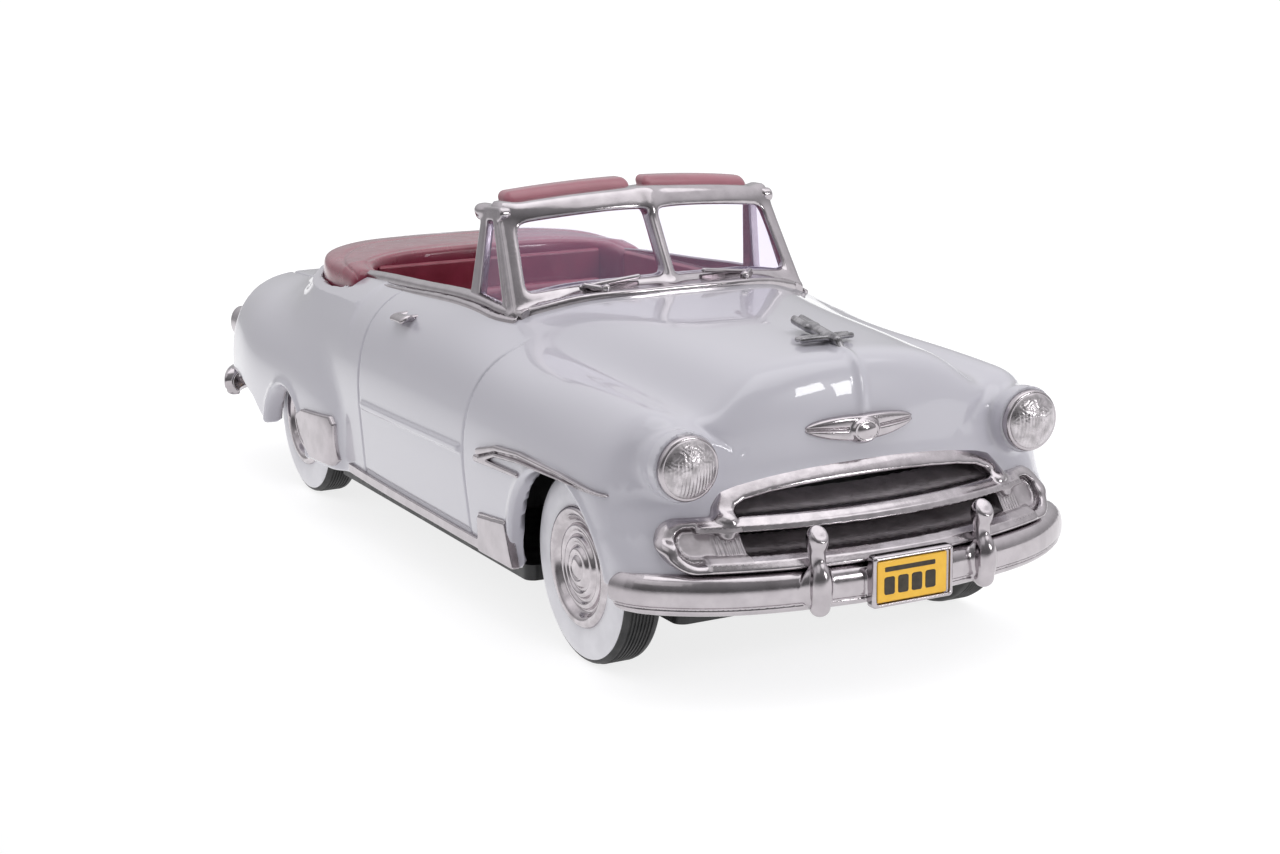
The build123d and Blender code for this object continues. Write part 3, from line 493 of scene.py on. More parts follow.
def mirrored(field, low, high):
    """Field and box of the same casting on the other side of the car."""

    def other(x, y, z):
        return field(-x, y, z)

    return other, (-high[0], low[1], low[2]), (-low[0], high[1], high[2])


def casting_pair(name, field, low, high, cell, look, node, slot, **more):
    """The same casting for the left and, mirrored, for the right."""
    casting(name + "_left", field, low, high, cell, look, node + "_left", slot, **more)
    casting(name + "_right", *mirrored(field, low, high), cell, look, node + "_right", slot, **more)


def casting_both(name, field, low, high, cell, look, node, refine):
    """One piece holding the same casting on the left and on the right."""
    mesh = surface_of(field, low, high, cell, refine, curved(18, FINEST_EDGE))
    mirror = surface_of(*mirrored(field, low, high), cell, refine, curved(18, FINEST_EDGE))
    data = bpy.data.meshes.new("half")
    mirror.to_mesh(data)
    mesh.from_mesh(data)
    mirror.free()
    piece = as_object(name, mesh, lambda x, y, z: field(np.abs(x), y, z))
    return dress(piece, look, node)


def segment(x, y, z, a, b, r0, r1=None):
    """Capsule from a to b with a radius that may taper."""
    r1 = r0 if r1 is None else r1
    ab = np.subtract(b, a)
    t = ((x - a[0]) * ab[0] + (y - a[1]) * ab[1] + (z - a[2]) * ab[2]) / ab.dot(ab)
    t = np.clip(t, 0, 1)
    gap = np.sqrt((x - a[0] - t * ab[0]) ** 2 + (y - a[1] - t * ab[1]) ** 2 + (z - a[2] - t * ab[2]) ** 2)
    return gap - (r0 + (r1 - r0) * t)


def rod2(u, v, a, b, r):
    """Capsule in a plane."""
    du, dv = b[0] - a[0], b[1] - a[1]
    t = np.clip(((u - a[0]) * du + (v - a[1]) * dv) / (du * du + dv * dv), 0, 1)
    return np.hypot(u - a[0] - t * du, v - a[1] - t * dv) - r


def ellipsoid(x, y, z, centre, radii):
    """Near-distance to an ellipsoid."""
    p = [(q - c) / r for q, c, r in zip((x, y, z), centre, radii)]
    k0 = np.sqrt(p[0] ** 2 + p[1] ** 2 + p[2] ** 2)
    k1 = np.sqrt((p[0] / radii[0]) ** 2 + (p[1] / radii[1]) ** 2 + (p[2] / radii[2]) ** 2)
    return k0 * (k0 - 1) / np.maximum(k1, 1e-6)


def slab(x, y, z, centre, half, rounding):
    """Box with rounded edges."""
    q = [np.abs(p - c) - (h - rounding) for p, c, h in zip((x, y, z), centre, half)]
    outside = np.sqrt(sum(np.maximum(v, 0) ** 2 for v in q))
    return outside + np.minimum(np.maximum(np.maximum(q[0], q[1]), q[2]), 0) - rounding


def polygon(u, v, corners):
    """Signed distance to a closed polygon in a plane."""
    best = np.full(u.shape, 1e9)
    inside = np.zeros(u.shape, bool)
    for (u0, v0), (u1, v1) in zip(corners, corners[1:] + corners[:1]):
        du, dv = u1 - u0, v1 - v0
        t = np.clip(((u - u0) * du + (v - v0) * dv) / (du * du + dv * dv), 0, 1)
        best = np.minimum(best, (u - u0 - t * du) ** 2 + (v - v0 - t * dv) ** 2)
        crosses = (v0 > v) != (v1 > v)
        inside ^= crosses & (u < (u1 - u0) * (v - v0) / (v1 - v0 + 1e-12) + u0)
    return np.where(inside, -1, 1) * np.sqrt(best)


def lathe(name, profile, centre, segments, look, node, body):
    """Closed ring turned about an axis along X through centre; profile is (x, radius) round its section."""
    mesh = bmesh.new()
    rings = []
    for i in range(segments):
        a = 2 * math.pi * i / segments
        c, s = math.cos(a), math.sin(a)
        rings.append([mesh.verts.new((x, centre[0] + r * c, centre[1] + r * s)) for x, r in profile])
    n = len(profile)
    for i in range(segments):
        ring, after = rings[i], rings[(i + 1) % segments]
        for j in range(n):
            mesh.faces.new((ring[j], ring[(j + 1) % n], after[(j + 1) % n], after[j]))
    bmesh.ops.remove_doubles(mesh, verts=mesh.verts, dist=1e-4)
    bmesh.ops.recalc_face_normals(mesh, faces=mesh.faces)
    thing = as_object(name, mesh)
    thing.data.set_sharp_from_angle(angle=math.radians(38))
    return dress(thing, look, node, body)


def rounded_profile(corners, steps=5):
    """Soften the corners of a closed (x, r) profile; each corner carries its own radius."""
    out = []
    n = len(corners)
    for i in range(n):
        x, r, radius = corners[i]
        px, pr, _ = corners[i - 1]
        nx, nr, _ = corners[(i + 1) % n]
        if radius <= 0:
            out.append((x, r))
            continue
        a = Vector((px - x, pr - r))
        b = Vector((nx - x, nr - r))
        cut = min(radius, a.length * 0.45, b.length * 0.45)
        start = Vector((x, r)) + a.normalized() * cut
        end = Vector((x, r)) + b.normalized() * cut
        for k in range(steps + 1):
            t = k / steps
            p = start * (1 - t) ** 2 + Vector((x, r)) * 2 * t * (1 - t) + end * t**2
            out.append((p.x, p.y))
    return out


# ---------------------------------------------------------------- materials


def add_node(tree, kind, inputs, **settings):
    """New shader node; an input that is given a socket is linked from it, any other is set."""
    node = tree.nodes.new("ShaderNode" + kind)
    for key, value in settings.items():
        setattr(node, key, value)
    for key, value in inputs.items():
        if isinstance(value, bpy.types.NodeSocket):
            tree.links.new(value, node.inputs[key])
        else:
            node.inputs[key].default_value = value
    return node


class Surface:
    """A Principled material with a small procedural network in object space behind it."""

    def __init__(
        self, name, color, roughness, metallic=0.0, coat=0.0, coat_rough=0.03, transmission=0.0, ior=1.5,
        specular=0.5,
    ):
        self.material = bpy.data.materials.new(name)
        self.material.use_nodes = True
        self.tree = self.material.node_tree
        self.shader = self.tree.nodes["Principled BSDF"]
        self.place = self.tree.nodes.new("ShaderNodeTexCoord").outputs["Object"]
        self.height = None
        self.set("Base Color", (*color, 1))
        self.set("Roughness", roughness)
        self.set("Metallic", metallic)
        self.set("Coat Weight", coat)
        self.set("Coat Roughness", coat_rough)
        self.set("Transmission Weight", transmission)
        self.set("IOR", ior)
        self.set("Specular IOR Level", specular)

    def set(self, socket, value):
        self.shader.inputs[socket].default_value = value

    def link(self, value, socket):
        self.tree.links.new(value, self.shader.inputs[socket])

    def noise(self, scale, detail=3.0):
        inputs = {"Scale": scale, "Detail": detail, "Roughness": 0.55, "Vector": self.place}
        return add_node(self.tree, "TexNoise", inputs).outputs["Fac"]

    def ramp(self, value, low, high, at=(0.3, 0.7)):
        inputs = {"From Min": at[0], "From Max": at[1], "To Min": low, "To Max": high, "Value": value}
        return add_node(self.tree, "MapRange", inputs).outputs["Result"]

    def combine(self, operation, first, second):
        return add_node(self.tree, "Math", {0: first, 1: second}, operation=operation).outputs["Value"]

    def mix(self, factor, dark, light):
        inputs = {"A": (*dark, 1), "B": (*light, 1), "Factor": factor}
        node = add_node(self.tree, "Mix", inputs, data_type="RGBA")
        self.link(node.outputs["Result"], "Base Color")

    def vary_roughness(self, scale, low, high, detail=3.0):
        self.link(self.ramp(self.noise(scale, detail), low, high), "Roughness")
        return self

    def vary_color(self, scale, dark, light, detail=3.0, at=(0.35, 0.65)):
        self.mix(self.ramp(self.noise(scale, detail), 0.0, 1.0, at), dark, light)
        return self

    def bump(self, scale, distance, strength=0.5, detail=2.0):
        inputs = {"Strength": strength, "Distance": distance, "Height": self.noise(scale, detail)}
        if self.height is not None:
            inputs["Normal"] = self.height
        self.height = add_node(self.tree, "Bump", inputs).outputs["Normal"]
        self.link(self.height, "Normal")
        return self


paint = Surface("light_grey_enamel", (0.6, 0.59, 0.615), 0.32, coat=1.0, coat_rough=0.02)
paint.vary_color(30, (0.57, 0.558, 0.616), (0.60, 0.587, 0.648), 1.0, (0.0, 1.0))
paint.link(paint.ramp(paint.noise(45, 1.0), 0.29, 0.34, (0.0, 1.0)), "Roughness")
nickel = Surface("bright_nickel", (0.7, 0.66, 0.64), 0.18, metallic=1.0)
nickel.vary_color(500, (0.45, 0.418, 0.438), (0.53, 0.493, 0.516))
nickel.vary_roughness(900, 0.13, 0.2, 2)
nickel.bump(700, 0.000012, 0.1)
nickel.bump(3600, 0.000012, 0.25, 4)
disc_nickel = Surface("turned_nickel", (0.76, 0.72, 0.69), 0.14, metallic=1.0)
disc_nickel.vary_color(700, (0.45, 0.418, 0.435), (0.62, 0.578, 0.6))
disc_nickel.vary_roughness(1200, 0.09, 0.22, 4)
disc_nickel.bump(2200, 0.00002, 0.2, 3)
smoked = Surface("smoked_nickel", (0.3, 0.29, 0.3), 0.16, metallic=1.0)
smoked.vary_color(900, (0.16, 0.155, 0.165), (0.42, 0.41, 0.425))
smoked.vary_roughness(1500, 0.1, 0.26)
smoked.bump(1800, 0.00003, 0.2)
acetate = Surface("clear_acetate", (0.885, 0.87, 0.915), 0.03, transmission=1.0, ior=1.16)
acetate.set("Emission Color", (0.8, 0.65, 1.0, 1))
acetate.set("Emission Strength", 0.045)  # painted glow: a faint lilac emission that stands in for hazy light over the glass, which is no lamp
acetate.vary_roughness(150, 0.02, 0.06)
acetate.bump(90, 0.00004, 0.1)
red = Surface("deep_red_gloss", (0.24, 0.016, 0.034), 0.3, coat=0.9, coat_rough=0.06)
red.vary_color(260, (0.225, 0.02, 0.05), (0.285, 0.028, 0.066))
red.vary_roughness(700, 0.24, 0.4)
red.bump(900, 0.00003, 0.2)
# The visors carry a lighter copy of the red trim: a painted sheen of grazing light on their tops.
visor_red_painted_sheen = Surface("visor_red_painted_sheen", (0.34, 0.07, 0.11), 0.35, coat=1.0, coat_rough=0.2)
visor_red_painted_sheen.vary_color(260, (0.31, 0.065, 0.1), (0.37, 0.085, 0.13))
visor_red_painted_sheen.vary_roughness(700, 0.3, 0.45)
visor_red_painted_sheen.bump(900, 0.00002, 0.2)
leather = Surface("deep_red_upholstery", (0.22, 0.015, 0.03), 0.42, coat=0.45, coat_rough=0.12)
leather.vary_color(420, (0.22, 0.02, 0.045), (0.30, 0.032, 0.065))
leather.vary_roughness(900, 0.34, 0.5)
leather.bump(5200, 0.00003, 0.35, 4)
rubber = Surface("black_rubber", (0.018, 0.018, 0.019), 0.55)
rubber.vary_color(600, (0.012, 0.012, 0.013), (0.03, 0.029, 0.03))
rubber.vary_roughness(800, 0.45, 0.65)
rubber.bump(2600, 0.00004, 0.3, 4)
white_rubber = Surface("white_sidewall", (0.80, 0.79, 0.83), 0.42)
white_rubber.vary_color(350, (0.74, 0.73, 0.77), (0.83, 0.82, 0.86))
white_rubber.vary_roughness(700, 0.36, 0.5)
white_rubber.bump(1800, 0.00002, 0.2)
lens = Surface("silvered_lens", (0.66, 0.63, 0.61), 0.3, metallic=1.0, coat=0.6, coat_rough=0.1)
lens.vary_color(1300, (0.4, 0.375, 0.39), (0.64, 0.6, 0.625))
lens.vary_roughness(1600, 0.22, 0.42, 4)
lens.bump(2400, 0.00004, 0.45, 3)
tail_red = Surface("tail_lamp_red", (0.42, 0.008, 0.01), 0.12, coat=1.0)
tail_red.vary_color(900, (0.34, 0.005, 0.007), (0.5, 0.012, 0.014))
tail_red.bump(1500, 0.00002, 0.2)
black = Surface("matt_black", (0.012, 0.012, 0.013), 0.6)
black.vary_color(300, (0.008, 0.008, 0.009), (0.02, 0.019, 0.019))
black.vary_roughness(700, 0.5, 0.7)
black.bump(1500, 0.00004, 0.35, 4)
base_paint = Surface("base_plate_black", (0.02, 0.02, 0.021), 0.42)
base_paint.vary_color(240, (0.014, 0.014, 0.015), (0.03, 0.03, 0.031))
base_paint.vary_roughness(600, 0.34, 0.52)
base_paint.bump(1300, 0.00004, 0.3, 4)
steel = Surface("turned_steel", (0.55, 0.54, 0.53), 0.3, metallic=1.0)
steel.vary_color(700, (0.46, 0.45, 0.44), (0.62, 0.61, 0.6))
steel.vary_roughness(900, 0.22, 0.4)
yellow = Surface("plate_yellow", (0.86, 0.5, 0.02), 0.35, coat=0.6, coat_rough=0.08)
yellow.vary_color(800, (0.92, 0.5, 0.012), (0.98, 0.56, 0.02))
yellow.vary_roughness(900, 0.3, 0.42)
yellow.bump(2600, 0.00001, 0.2)
ink = Surface("plate_print", (0.03, 0.022, 0.012), 0.45)
ink.vary_color(1500, (0.022, 0.016, 0.009), (0.045, 0.034, 0.02))
ink.vary_roughness(900, 0.38, 0.52)

# ---------------------------------------------------------------- painted body


def body_near(points, level):
    """Where the door gaps, the crease at the door's foot, the edges of the strip, the trunk lid gap and the
    hood crease need a finer mesh.
    """
    x, y, z = points.T
    ax = np.abs(x)
    band = (0.55, 0.32, 0.22)[level]
    front = curve(DOOR_FRONT, z)
    rear = curve(DOOR_REAR, z)
    outside = outer_form(x, y, z) > -0.7
    side = (ax > 15.5) & (z > 5.6) & outside
    near = side & (np.minimum(np.abs(y - front), np.abs(y - rear)) < band)
    in_door = (y > front - 0.3) & (y < rear + 0.3)
    near |= side & in_door & (np.abs(z - DOOR_CREASE) < band)
    near |= side & in_door & (np.abs(np.abs(z - strip_middle(y)) - DOOR_STRIP[3]) < band * 0.7)
    near |= (np.abs(boot_lid(ax, y)) < band) & (y > 36) & (z > 12) & outside
    near |= (ax < 0.6 + band) & (y < -42) & (z > 21) & outside & (level < 2)
    return near


def body_outside(points):
    return outer_form(*points.T) > -0.75


BODY_LEVELS = 3
body_edges = curved(15, 0.2, body_near, body_outside)
body_mesh = surface_of(body_form, (-23, -59, 3), (23, 58, 30), 0.75, BODY_LEVELS, body_edges)
body = as_object("painted_body", body_mesh, body_form)
dress(body, paint, "body_shell")

# ---------------------------------------------------------------- windscreen
SCREEN_LEAN = 0.61
HEADER_BOW = 0.0052  # fall of the header and of the foot bar towards the sides, per mm squared
FOOT_BOW = 0.0048


def screen_y(x, z, foot=-19.8):
    """Where the bowed and leaning windscreen stands at a height z."""
    return foot + SCREEN_LEAN * (z - 28.5) + x * x / 78


def screen_depth(x, y, z):
    """Distance in front of (-) or behind (+) the windscreen surface."""
    return (y - screen_y(x, z)) / math.hypot(1, SCREEN_LEAN)


def cowl_line(ax):
    """Where the strip at the foot of the windscreen crosses the scuttle."""
    return -22.2 + 0.00115 * ax**3


def screen_frame(x, y, z):
    ax = np.abs(x)
    q = screen_depth(x, y, z)
    peak = 0.12 * np.exp(-((x / 2.2) ** 2))
    header = np.maximum(np.abs(z - (35.3 - HEADER_BOW * x * x)) - 0.9 - peak, ax - 13.6)
    post = rod2(ax, z, (13.5, 34.6), (14.5, 26.0), 0.76)
    foot = np.maximum(np.abs(z - (28.1 - FOOT_BOW * x * x)) - 0.5, ax - 14.2)
    ring = smin(smin(header, post, 1.5), foot, 1.3)
    ring = smin(ring, np.maximum(ax - 0.55, np.abs(z - 31.5) - 4.2), 1.0)
    depth = 0.62 + 0.32 * plateau(34.2 - z, 0, 0.25) + 0.25 * np.exp(-((x / 0.9) ** 2))
    frame_form = smax(ring, np.abs(q - 0.1) - depth, 0.75)
    # bright strip round the foot, and the apron that rises from it to the frame
    skin_gap = outer_form(x, y, z)
    line = cowl_line(ax)
    strip = smax(np.maximum(np.abs(y - line) - 0.5, ax - 15.5), np.abs(skin_gap - 0.05) - 0.5, 0.5)
    share = np.clip((y - line) / np.maximum(-19.6 + x * x / 78 - line, 0.3), 0, 1.2)
    apron = np.maximum(np.maximum(line + 0.2 - y, q - 0.6), ax - 15.0)
    apron = smax(apron, np.maximum(skin_gap - 0.30 - 0.55 * share, -skin_gap - 0.5), 0.35)
    return smin(frame_form, smin(strip, apron, 0.2), 0.6)


casting(
    "windscreen_frame", screen_frame, (-16.5, -24.4, 24), (16.5, -10, 37.5), 0.2, nickel,
    "windshield_frame", "trim_chrome",
)


def pane(name, side, node):
    """Curved clear pane with real thickness, let into the frame."""
    mesh = bmesh.new()
    columns, rows, thick = 24, 10, 0.22
    sheets = []
    for depth in (-thick, thick):
        sheet = []
        for i in range(columns + 1):
            x = 0.1 + (14.0 - 0.1) * i / columns
            low, high = 28.0 - FOOT_BOW * x * x, 35.2 - HEADER_BOW * x * x
            column = []
            for j in range(rows + 1):
                z = low + (high - low) * j / rows
                y = screen_y(x, z, -19.7) + depth
                column.append(mesh.verts.new((side * x, y, z)))
            sheet.append(column)
        sheets.append(sheet)
    near, far = sheets
    for i in range(columns):
        for j in range(rows):
            mesh.faces.new((near[i][j], near[i + 1][j], near[i + 1][j + 1], near[i][j + 1]))
            mesh.faces.new((far[i][j], far[i][j + 1], far[i + 1][j + 1], far[i + 1][j]))
    for i in range(columns):
        for j in (0, rows):
            mesh.faces.new((near[i][j], far[i][j], far[i + 1][j], near[i + 1][j]))
    for j in range(rows):
        for i in (0, columns):
            mesh.faces.new((near[i][j], near[i][j + 1], far[i][j + 1], far[i][j]))
    bmesh.ops.recalc_face_normals(mesh, faces=mesh.faces)
    thing = as_object(name, mesh)
    thing.data.set_sharp_from_angle(angle=math.radians(40))
    dress(thing, acetate, node)


pane("windscreen_right", -1, "windshield_pane_right")
pane("windscreen_left", 1, "windshield_pane_left")


def vent_plane(z):
    """Sideways place of the vent windows, which lean in towards their top."""
    return 14.75 - 0.11 * (z - 26.0)


def vent_frame(x, y, z):
    plane = vent_plane(z)
    t = np.clip((z - 26.0) / 8.0, 0, 1)
    flat = rod2(y, z, (-10.0, 25.4), (-11.1, 34.0), 0.0) - (0.95 - 0.36 * t)
    flat = smin(flat, rod2(y, z, (-9.9, 34.3), (-14.2, 34.5), 0.66), 0.9)
    flat = smin(flat, rod2(y, z, (-9.6, 26.0), (-17.6, 26.2), 0.5), 0.8)
    flat = smin(flat, rod2(y, z, (-17.0, 26.6), (-13.4, 34.4), 0.45), 0.6)
    form = smax(flat, np.abs(x - plane) - 0.58, 0.5)
    return smin(form, ellipsoid(x, y, z, (13.85, -10.3, 34.5), (0.95, 1.25, 0.65)), 0.5)


casting_pair(
    "vent_frame", vent_frame, (12.8, -19.5, 24.6), (16.6, -6.5, 36.2), 0.16, nickel, "vent_frame",
    "trim_chrome", refine=1, angle=20,
)


def vent_glass(side, mesh):
    corners = ((-16.8, 26.4), (-9.9, 26.2), (-11.0, 34.2), (-13.3, 34.3))
    loops = []
    for offset in (-0.15, 0.15):
        loops.append([mesh.verts.new((side * (vent_plane(z) + offset), y, z)) for y, z in corners])
    mesh.faces.new(loops[0])
    mesh.faces.new(loops[1][::-1])
    for i in range(4):
        mesh.faces.new((loops[0][i], loops[0][(i + 1) % 4], loops[1][(i + 1) % 4], loops[1][i]))


vent_mesh = bmesh.new()
vent_glass(-1, vent_mesh)
vent_glass(1, vent_mesh)
bmesh.ops.subdivide_edges(vent_mesh, edges=vent_mesh.edges, cuts=3, use_grid_fill=True)
bmesh.ops.recalc_face_normals(vent_mesh, faces=vent_mesh.faces)
vents = as_object("vent_glasses", vent_mesh)
vents.data.set_sharp_from_angle(angle=math.radians(30))
dress(vents, acetate, "vent_panes")


def sun_visor(x, y, z):
    q = screen_depth(x, y, z)
    rise = z - (36.15 - HEADER_BOW * x * x)
    pad = slab(x, q, rise, (6.75, 1.75, 0.1), (6.0, 1.15, 0.78), 0.7)
    return pad + 0.05 * np.exp(-(((q - 2.5) / 0.2) ** 2))


casting_pair(
    "sun_visor", sun_visor, (0.2, -18.0, 33.4), (13.6, -8.0, 38.2), 0.2, visor_red_painted_sheen, "sun_visor", "trim_red",
    refine=1,
)


def wiper(x, y, z):
    ax = np.abs(x)

    def on_glass(px, pz):
        return screen_y(px, pz) - 0.95

    post = segment(ax, y, z, (7.2, -21.3, 27.2), (7.2, -21.5, 28.1), 0.5, 0.4)
    arm = segment(ax, y, z, (7.2, -21.4, 28.0), (8.6, on_glass(8.6, 28.2), 28.3), 0.3, 0.22)
    blade = segment(ax, y, z, (12.2, on_glass(12.2, 27.7), 27.7), (3.4, on_glass(3.4, 28.75), 28.75), 0.22)
    return smin(smin(post, arm, 0.3), blade, 0.2)


casting("wiper_arms", wiper, (-9, -23.5, 26.8), (9, -18.4, 30.6), 0.1, nickel, "wipers", "trim_chrome")

# ---------------------------------------------------------------- side trim


def belt_moulding(x, y, z):
    """Raised rail on the edge of the cockpit with a thin second strip outside it."""
    form = outer_form(x, y, z)
    pull = 0.9 * np.clip((-15.0 - y) / 4.5, 0, 1) ** 2
    rail = smax(np.abs(x - 15.2 + pull) - 0.46, form - 0.62, 0.4)
    rail = np.maximum(rail, np.maximum(-19.6 - y, y - 18.6))
    fade = 0.22 * np.clip((y + 2.0) / 12.0, 0, 1)
    strip = smax(np.abs(x - 16.05 + pull) - 0.24 + fade * 0.3, form - 0.30 + fade, 0.2)
    strip = np.maximum(strip, np.maximum(-19.4 - y, y - 16.0))
    return smax(smin(rail, strip, 0.08), -form - 0.7, 0.1)


casting_pair(
    "belt_moulding", belt_moulding, (13.4, -20.6, 23.0), (17.6, 19.6, 28.6), 0.15, nickel, "belt_moulding",
    "trim_chrome",
)


SPEAR_TOP = [(-24.9, 15.6), (-28.5, 16.55), (-33.0, 16.92), (-40.3, 16.82), (-47.2, 16.38)]
SPEAR_FOOT = [(-25.2, 14.95), (-28.4, 15.95), (-33, 16.3), (-40.3, 16.4), (-47.2, 16.3)]
SPEAR_WEB = [
    (-25.0, 15.0), (-28.5, 15.9), (-40, 16.3), (-47.8, 16.3), (-40.3, 16.75), (-33, 16.8), (-28.5, 16.4),
    (-24.9, 15.6),
]
SHORT_SPEAR = [(-24.3, 14.9), (-26.4, 14.95), (-32.7, 15.05)]


def along(u, v, points, radius, taper=0.0):
    """Distance in a plane to a chain of points, thinning by taper towards its far end."""
    best = np.full(np.shape(u), 1e9)
    count = len(points) - 1
    for i, (a, b) in enumerate(zip(points[:-1], points[1:])):
        du, dv = b[0] - a[0], b[1] - a[1]
        t = np.clip(((u - a[0]) * du + (v - a[1]) * dv) / (du * du + dv * dv), 0, 1)
        gap = np.hypot(u - a[0] - t * du, v - a[1] - t * dv)
        best = np.minimum(best, gap - radius + taper * (i + t) / count)
    return best


def fender_spear(x, y, z):
    form = outer_form(x, y, z)
    upper = along(y, z, SPEAR_TOP, 0.32, 0.24)
    lower = along(y, z, SPEAR_FOOT, 0.24, 0.18)
    short = along(y, z, SHORT_SPEAR, 0.32, 0.12)
    bars = smin(upper, lower, 0.15)
    bars = smax(bars, form - 0.42, 0.3)
    web = np.maximum(polygon(y, z, SPEAR_WEB), form - 0.12)
    short = smax(short, form - 0.36, 0.25)
    out = smin(smin(bars, web, 0.1), short, 0.1)
    return smax(out, -form - 0.6, 0.1)


casting_pair(
    "fender_spear", fender_spear, (19.0, -50.0, 13.8), (22.6, -23.2, 18.2), 0.13, nickel, "fender_spear",
    "trim_chrome",
)


def sill_moulding(x, y, z):
    """Stainless strip along the sill that grows into the gravel guard behind the front wheel."""
    strip = slab(y, z, z * 0, (-8.0, 6.95, 0.0), (17.8, 0.5, 5.0), 0.25)
    guard = polygon(y, z, [(-23.6, 6.4), (-24.0, 9.8), (-29.4, 10.3), (-29.9, 8.0), (-30.3, 6.4)]) - 0.12
    out = smin(strip, guard, 0.4)
    form = outer_form(x, y, z)
    rim = 0.16 * np.exp(-(((z - 9.75 + 0.105 * (y + 24)) / 0.16) ** 2)) * plateau(y + 23.4, 0, 0.1)
    return smax(smax(out, form - 0.32 + rim, 0.22), -form - 0.5, 0.1)


casting_pair(
    "sill_moulding", sill_moulding, (18.6, -31.6, 5.0), (22.8, 10.8, 11.4), 0.2, nickel, "sill_moulding",
    "trim_chrome", refine=1, angle=22,
)


SHIELD_OUTLINE = [
    (21.3, 10.4), (19.8, 11.1), (12.6, 11.6), (12.0, 11.0),
    (11.9, 7.4), (12.5, 6.9), (17.8, 6.8), (19.0, 7.6),
]


def gravel_shield(x, y, z):
    """Plate lying on the body in front of the rear wheel."""
    form = outer_form(x, y, z)
    plate = smax(polygon(y, z, SHIELD_OUTLINE) - 0.25, form - 0.34, 0.3)
    return smax(plate, -form - 0.6, 0.1)


casting_pair(
    "gravel_shield", gravel_shield, (19.2, 10.4, 5.8), (23.0, 22.4, 13.4), 0.2, nickel, "gravel_shield",
    "trim_chrome", refine=1, angle=22,
)


HANDLE_Y = -3.4


def handles(x, y, z):
    form = outer_form(x, y, z)
    base = y - HANDLE_Y
    bar = segment(base, z, form, (-0.6, 23.95, 0.75), (2.6, 23.8, 0.6), 0.40, 0.30)
    foot = segment(base, z, form, (2.4, 23.8, -0.3), (2.4, 23.8, 0.55), 0.52, 0.3)
    tail = segment(base, z, form, (-0.4, 23.95, -0.3), (-0.4, 23.95, 0.7), 0.34)
    button = segment(base, z, form, (3.3, 23.75, -0.3), (3.3, 23.75, 0.2), 0.32)
    return smin(smin(smin(bar, foot, 0.3), tail, 0.2), button, 0.1)


casting_both(
    "door_handle_pair", handles, (16.5, -5.6, 22.0), (21.5, 1.4, 26.0), 0.13, nickel, "door_handles",
    refine=1,
)

# ---------------------------------------------------------------- nose ornaments


def hood_ornament(x, y, z):
    ax = np.abs(x)
    trunk = segment(x, y, z, (0, -48.0, 26.65), (0, -44.6, 27.1), 0.4, 0.5)
    beak = segment(x, y, z, (0, -48.0, 26.6), (0, -48.9, 25.9), 0.36, 0.2)
    tail = slab(x, y, z - 0.16 * (y + 44.6), (0, -43.2, 27.1), (0.8, 1.3, 0.34), 0.3)
    tail = tail + 0.07 * np.cos(x * 9.0) * plateau(-43.9 - y, 0, 0.3)
    sweep = y + 46.9 - 0.3 * ax
    wing = slab(ax, sweep, z - 26.75 + 0.02 * ax * ax, (1.25, 0, 0), (1.3, 0.62, 0.2), 0.2)
    wing = wing + 0.035 * np.cos(sweep * 9.0) * (ax > 0.7)
    post = segment(x, y, z, (0, -47.6, 26.4), (0, -47.1, 25.0), 0.3, 0.5)
    foot = ellipsoid(x, y, z, (0, -46.8, 24.95), (0.8, 1.9, 0.42))
    form = smin(smin(trunk, beak, 0.2), tail, 0.5)
    form = smin(smin(form, wing, 0.35), post, 0.3)
    return smin(form, foot, 0.3)


casting(
    "hood_ornament_bird", hood_ornament, (-3.2, -49.4, 24.3), (3.2, -41.8, 28.2), 0.085, smoked,
    "hood_ornament", "dark_chrome",
)


def hood_badge(x, y, z):
    """Winged plaque with a plain oval boss, set a little off the centre as on the casting."""
    x = x + 0.35
    ax = np.abs(x)
    form = outer_form(x - 0.35, y, z)
    reach = np.clip(ax / 5.1, 0, 1)
    mid = 20.35 + 0.25 * reach
    half = 0.98 * (1 - reach**2.2) ** 0.6 + 0.05
    wing = np.maximum(np.abs(z - mid) - half, ax - 5.05)
    rib = 0.22 * np.exp(-(((z - mid) / 0.12) ** 2)) * (ax > 1.4)
    wing = smax(wing, form - 0.75 + 0.45 * reach**2 + rib, 0.55)
    boss = ellipsoid(x, form, z, (0, 0.25, 20.2), (1.55, 0.85, 1.15))
    rim = 0.1 * np.exp(-(((np.hypot(x / 1.55, (z - 20.2) / 1.15) - 0.72) / 0.1) ** 2))
    out = smin(wing, boss - rim, 0.18)
    return smax(out, -form - 0.6, 0.1)


casting(
    "hood_badge_wings", hood_badge, (-5.7, -54.6, 18.4), (5.7, -50.4, 22.2), 0.12, nickel, "hood_badge",
    "trim_chrome", refine=1, angle=22,
)

# ---------------------------------------------------------------- lamps


def headlamp_ring(x, y, z):
    r = np.hypot(x - HEADLAMP[0], z - HEADLAMP[1])
    ring = rod2(r, y, (2.32, -52.4), (2.32, -51.6), 0.25)
    back = np.maximum(r - 2.3, np.abs(y + 49.9) - 0.5)
    return np.minimum(ring, back)


casting_pair(
    "headlamp_ring", headlamp_ring, (13.0, -53.6, 15.9), (19.4, -48.9, 22.1), 0.13, nickel, "headlamp",
    "trim_chrome",
)


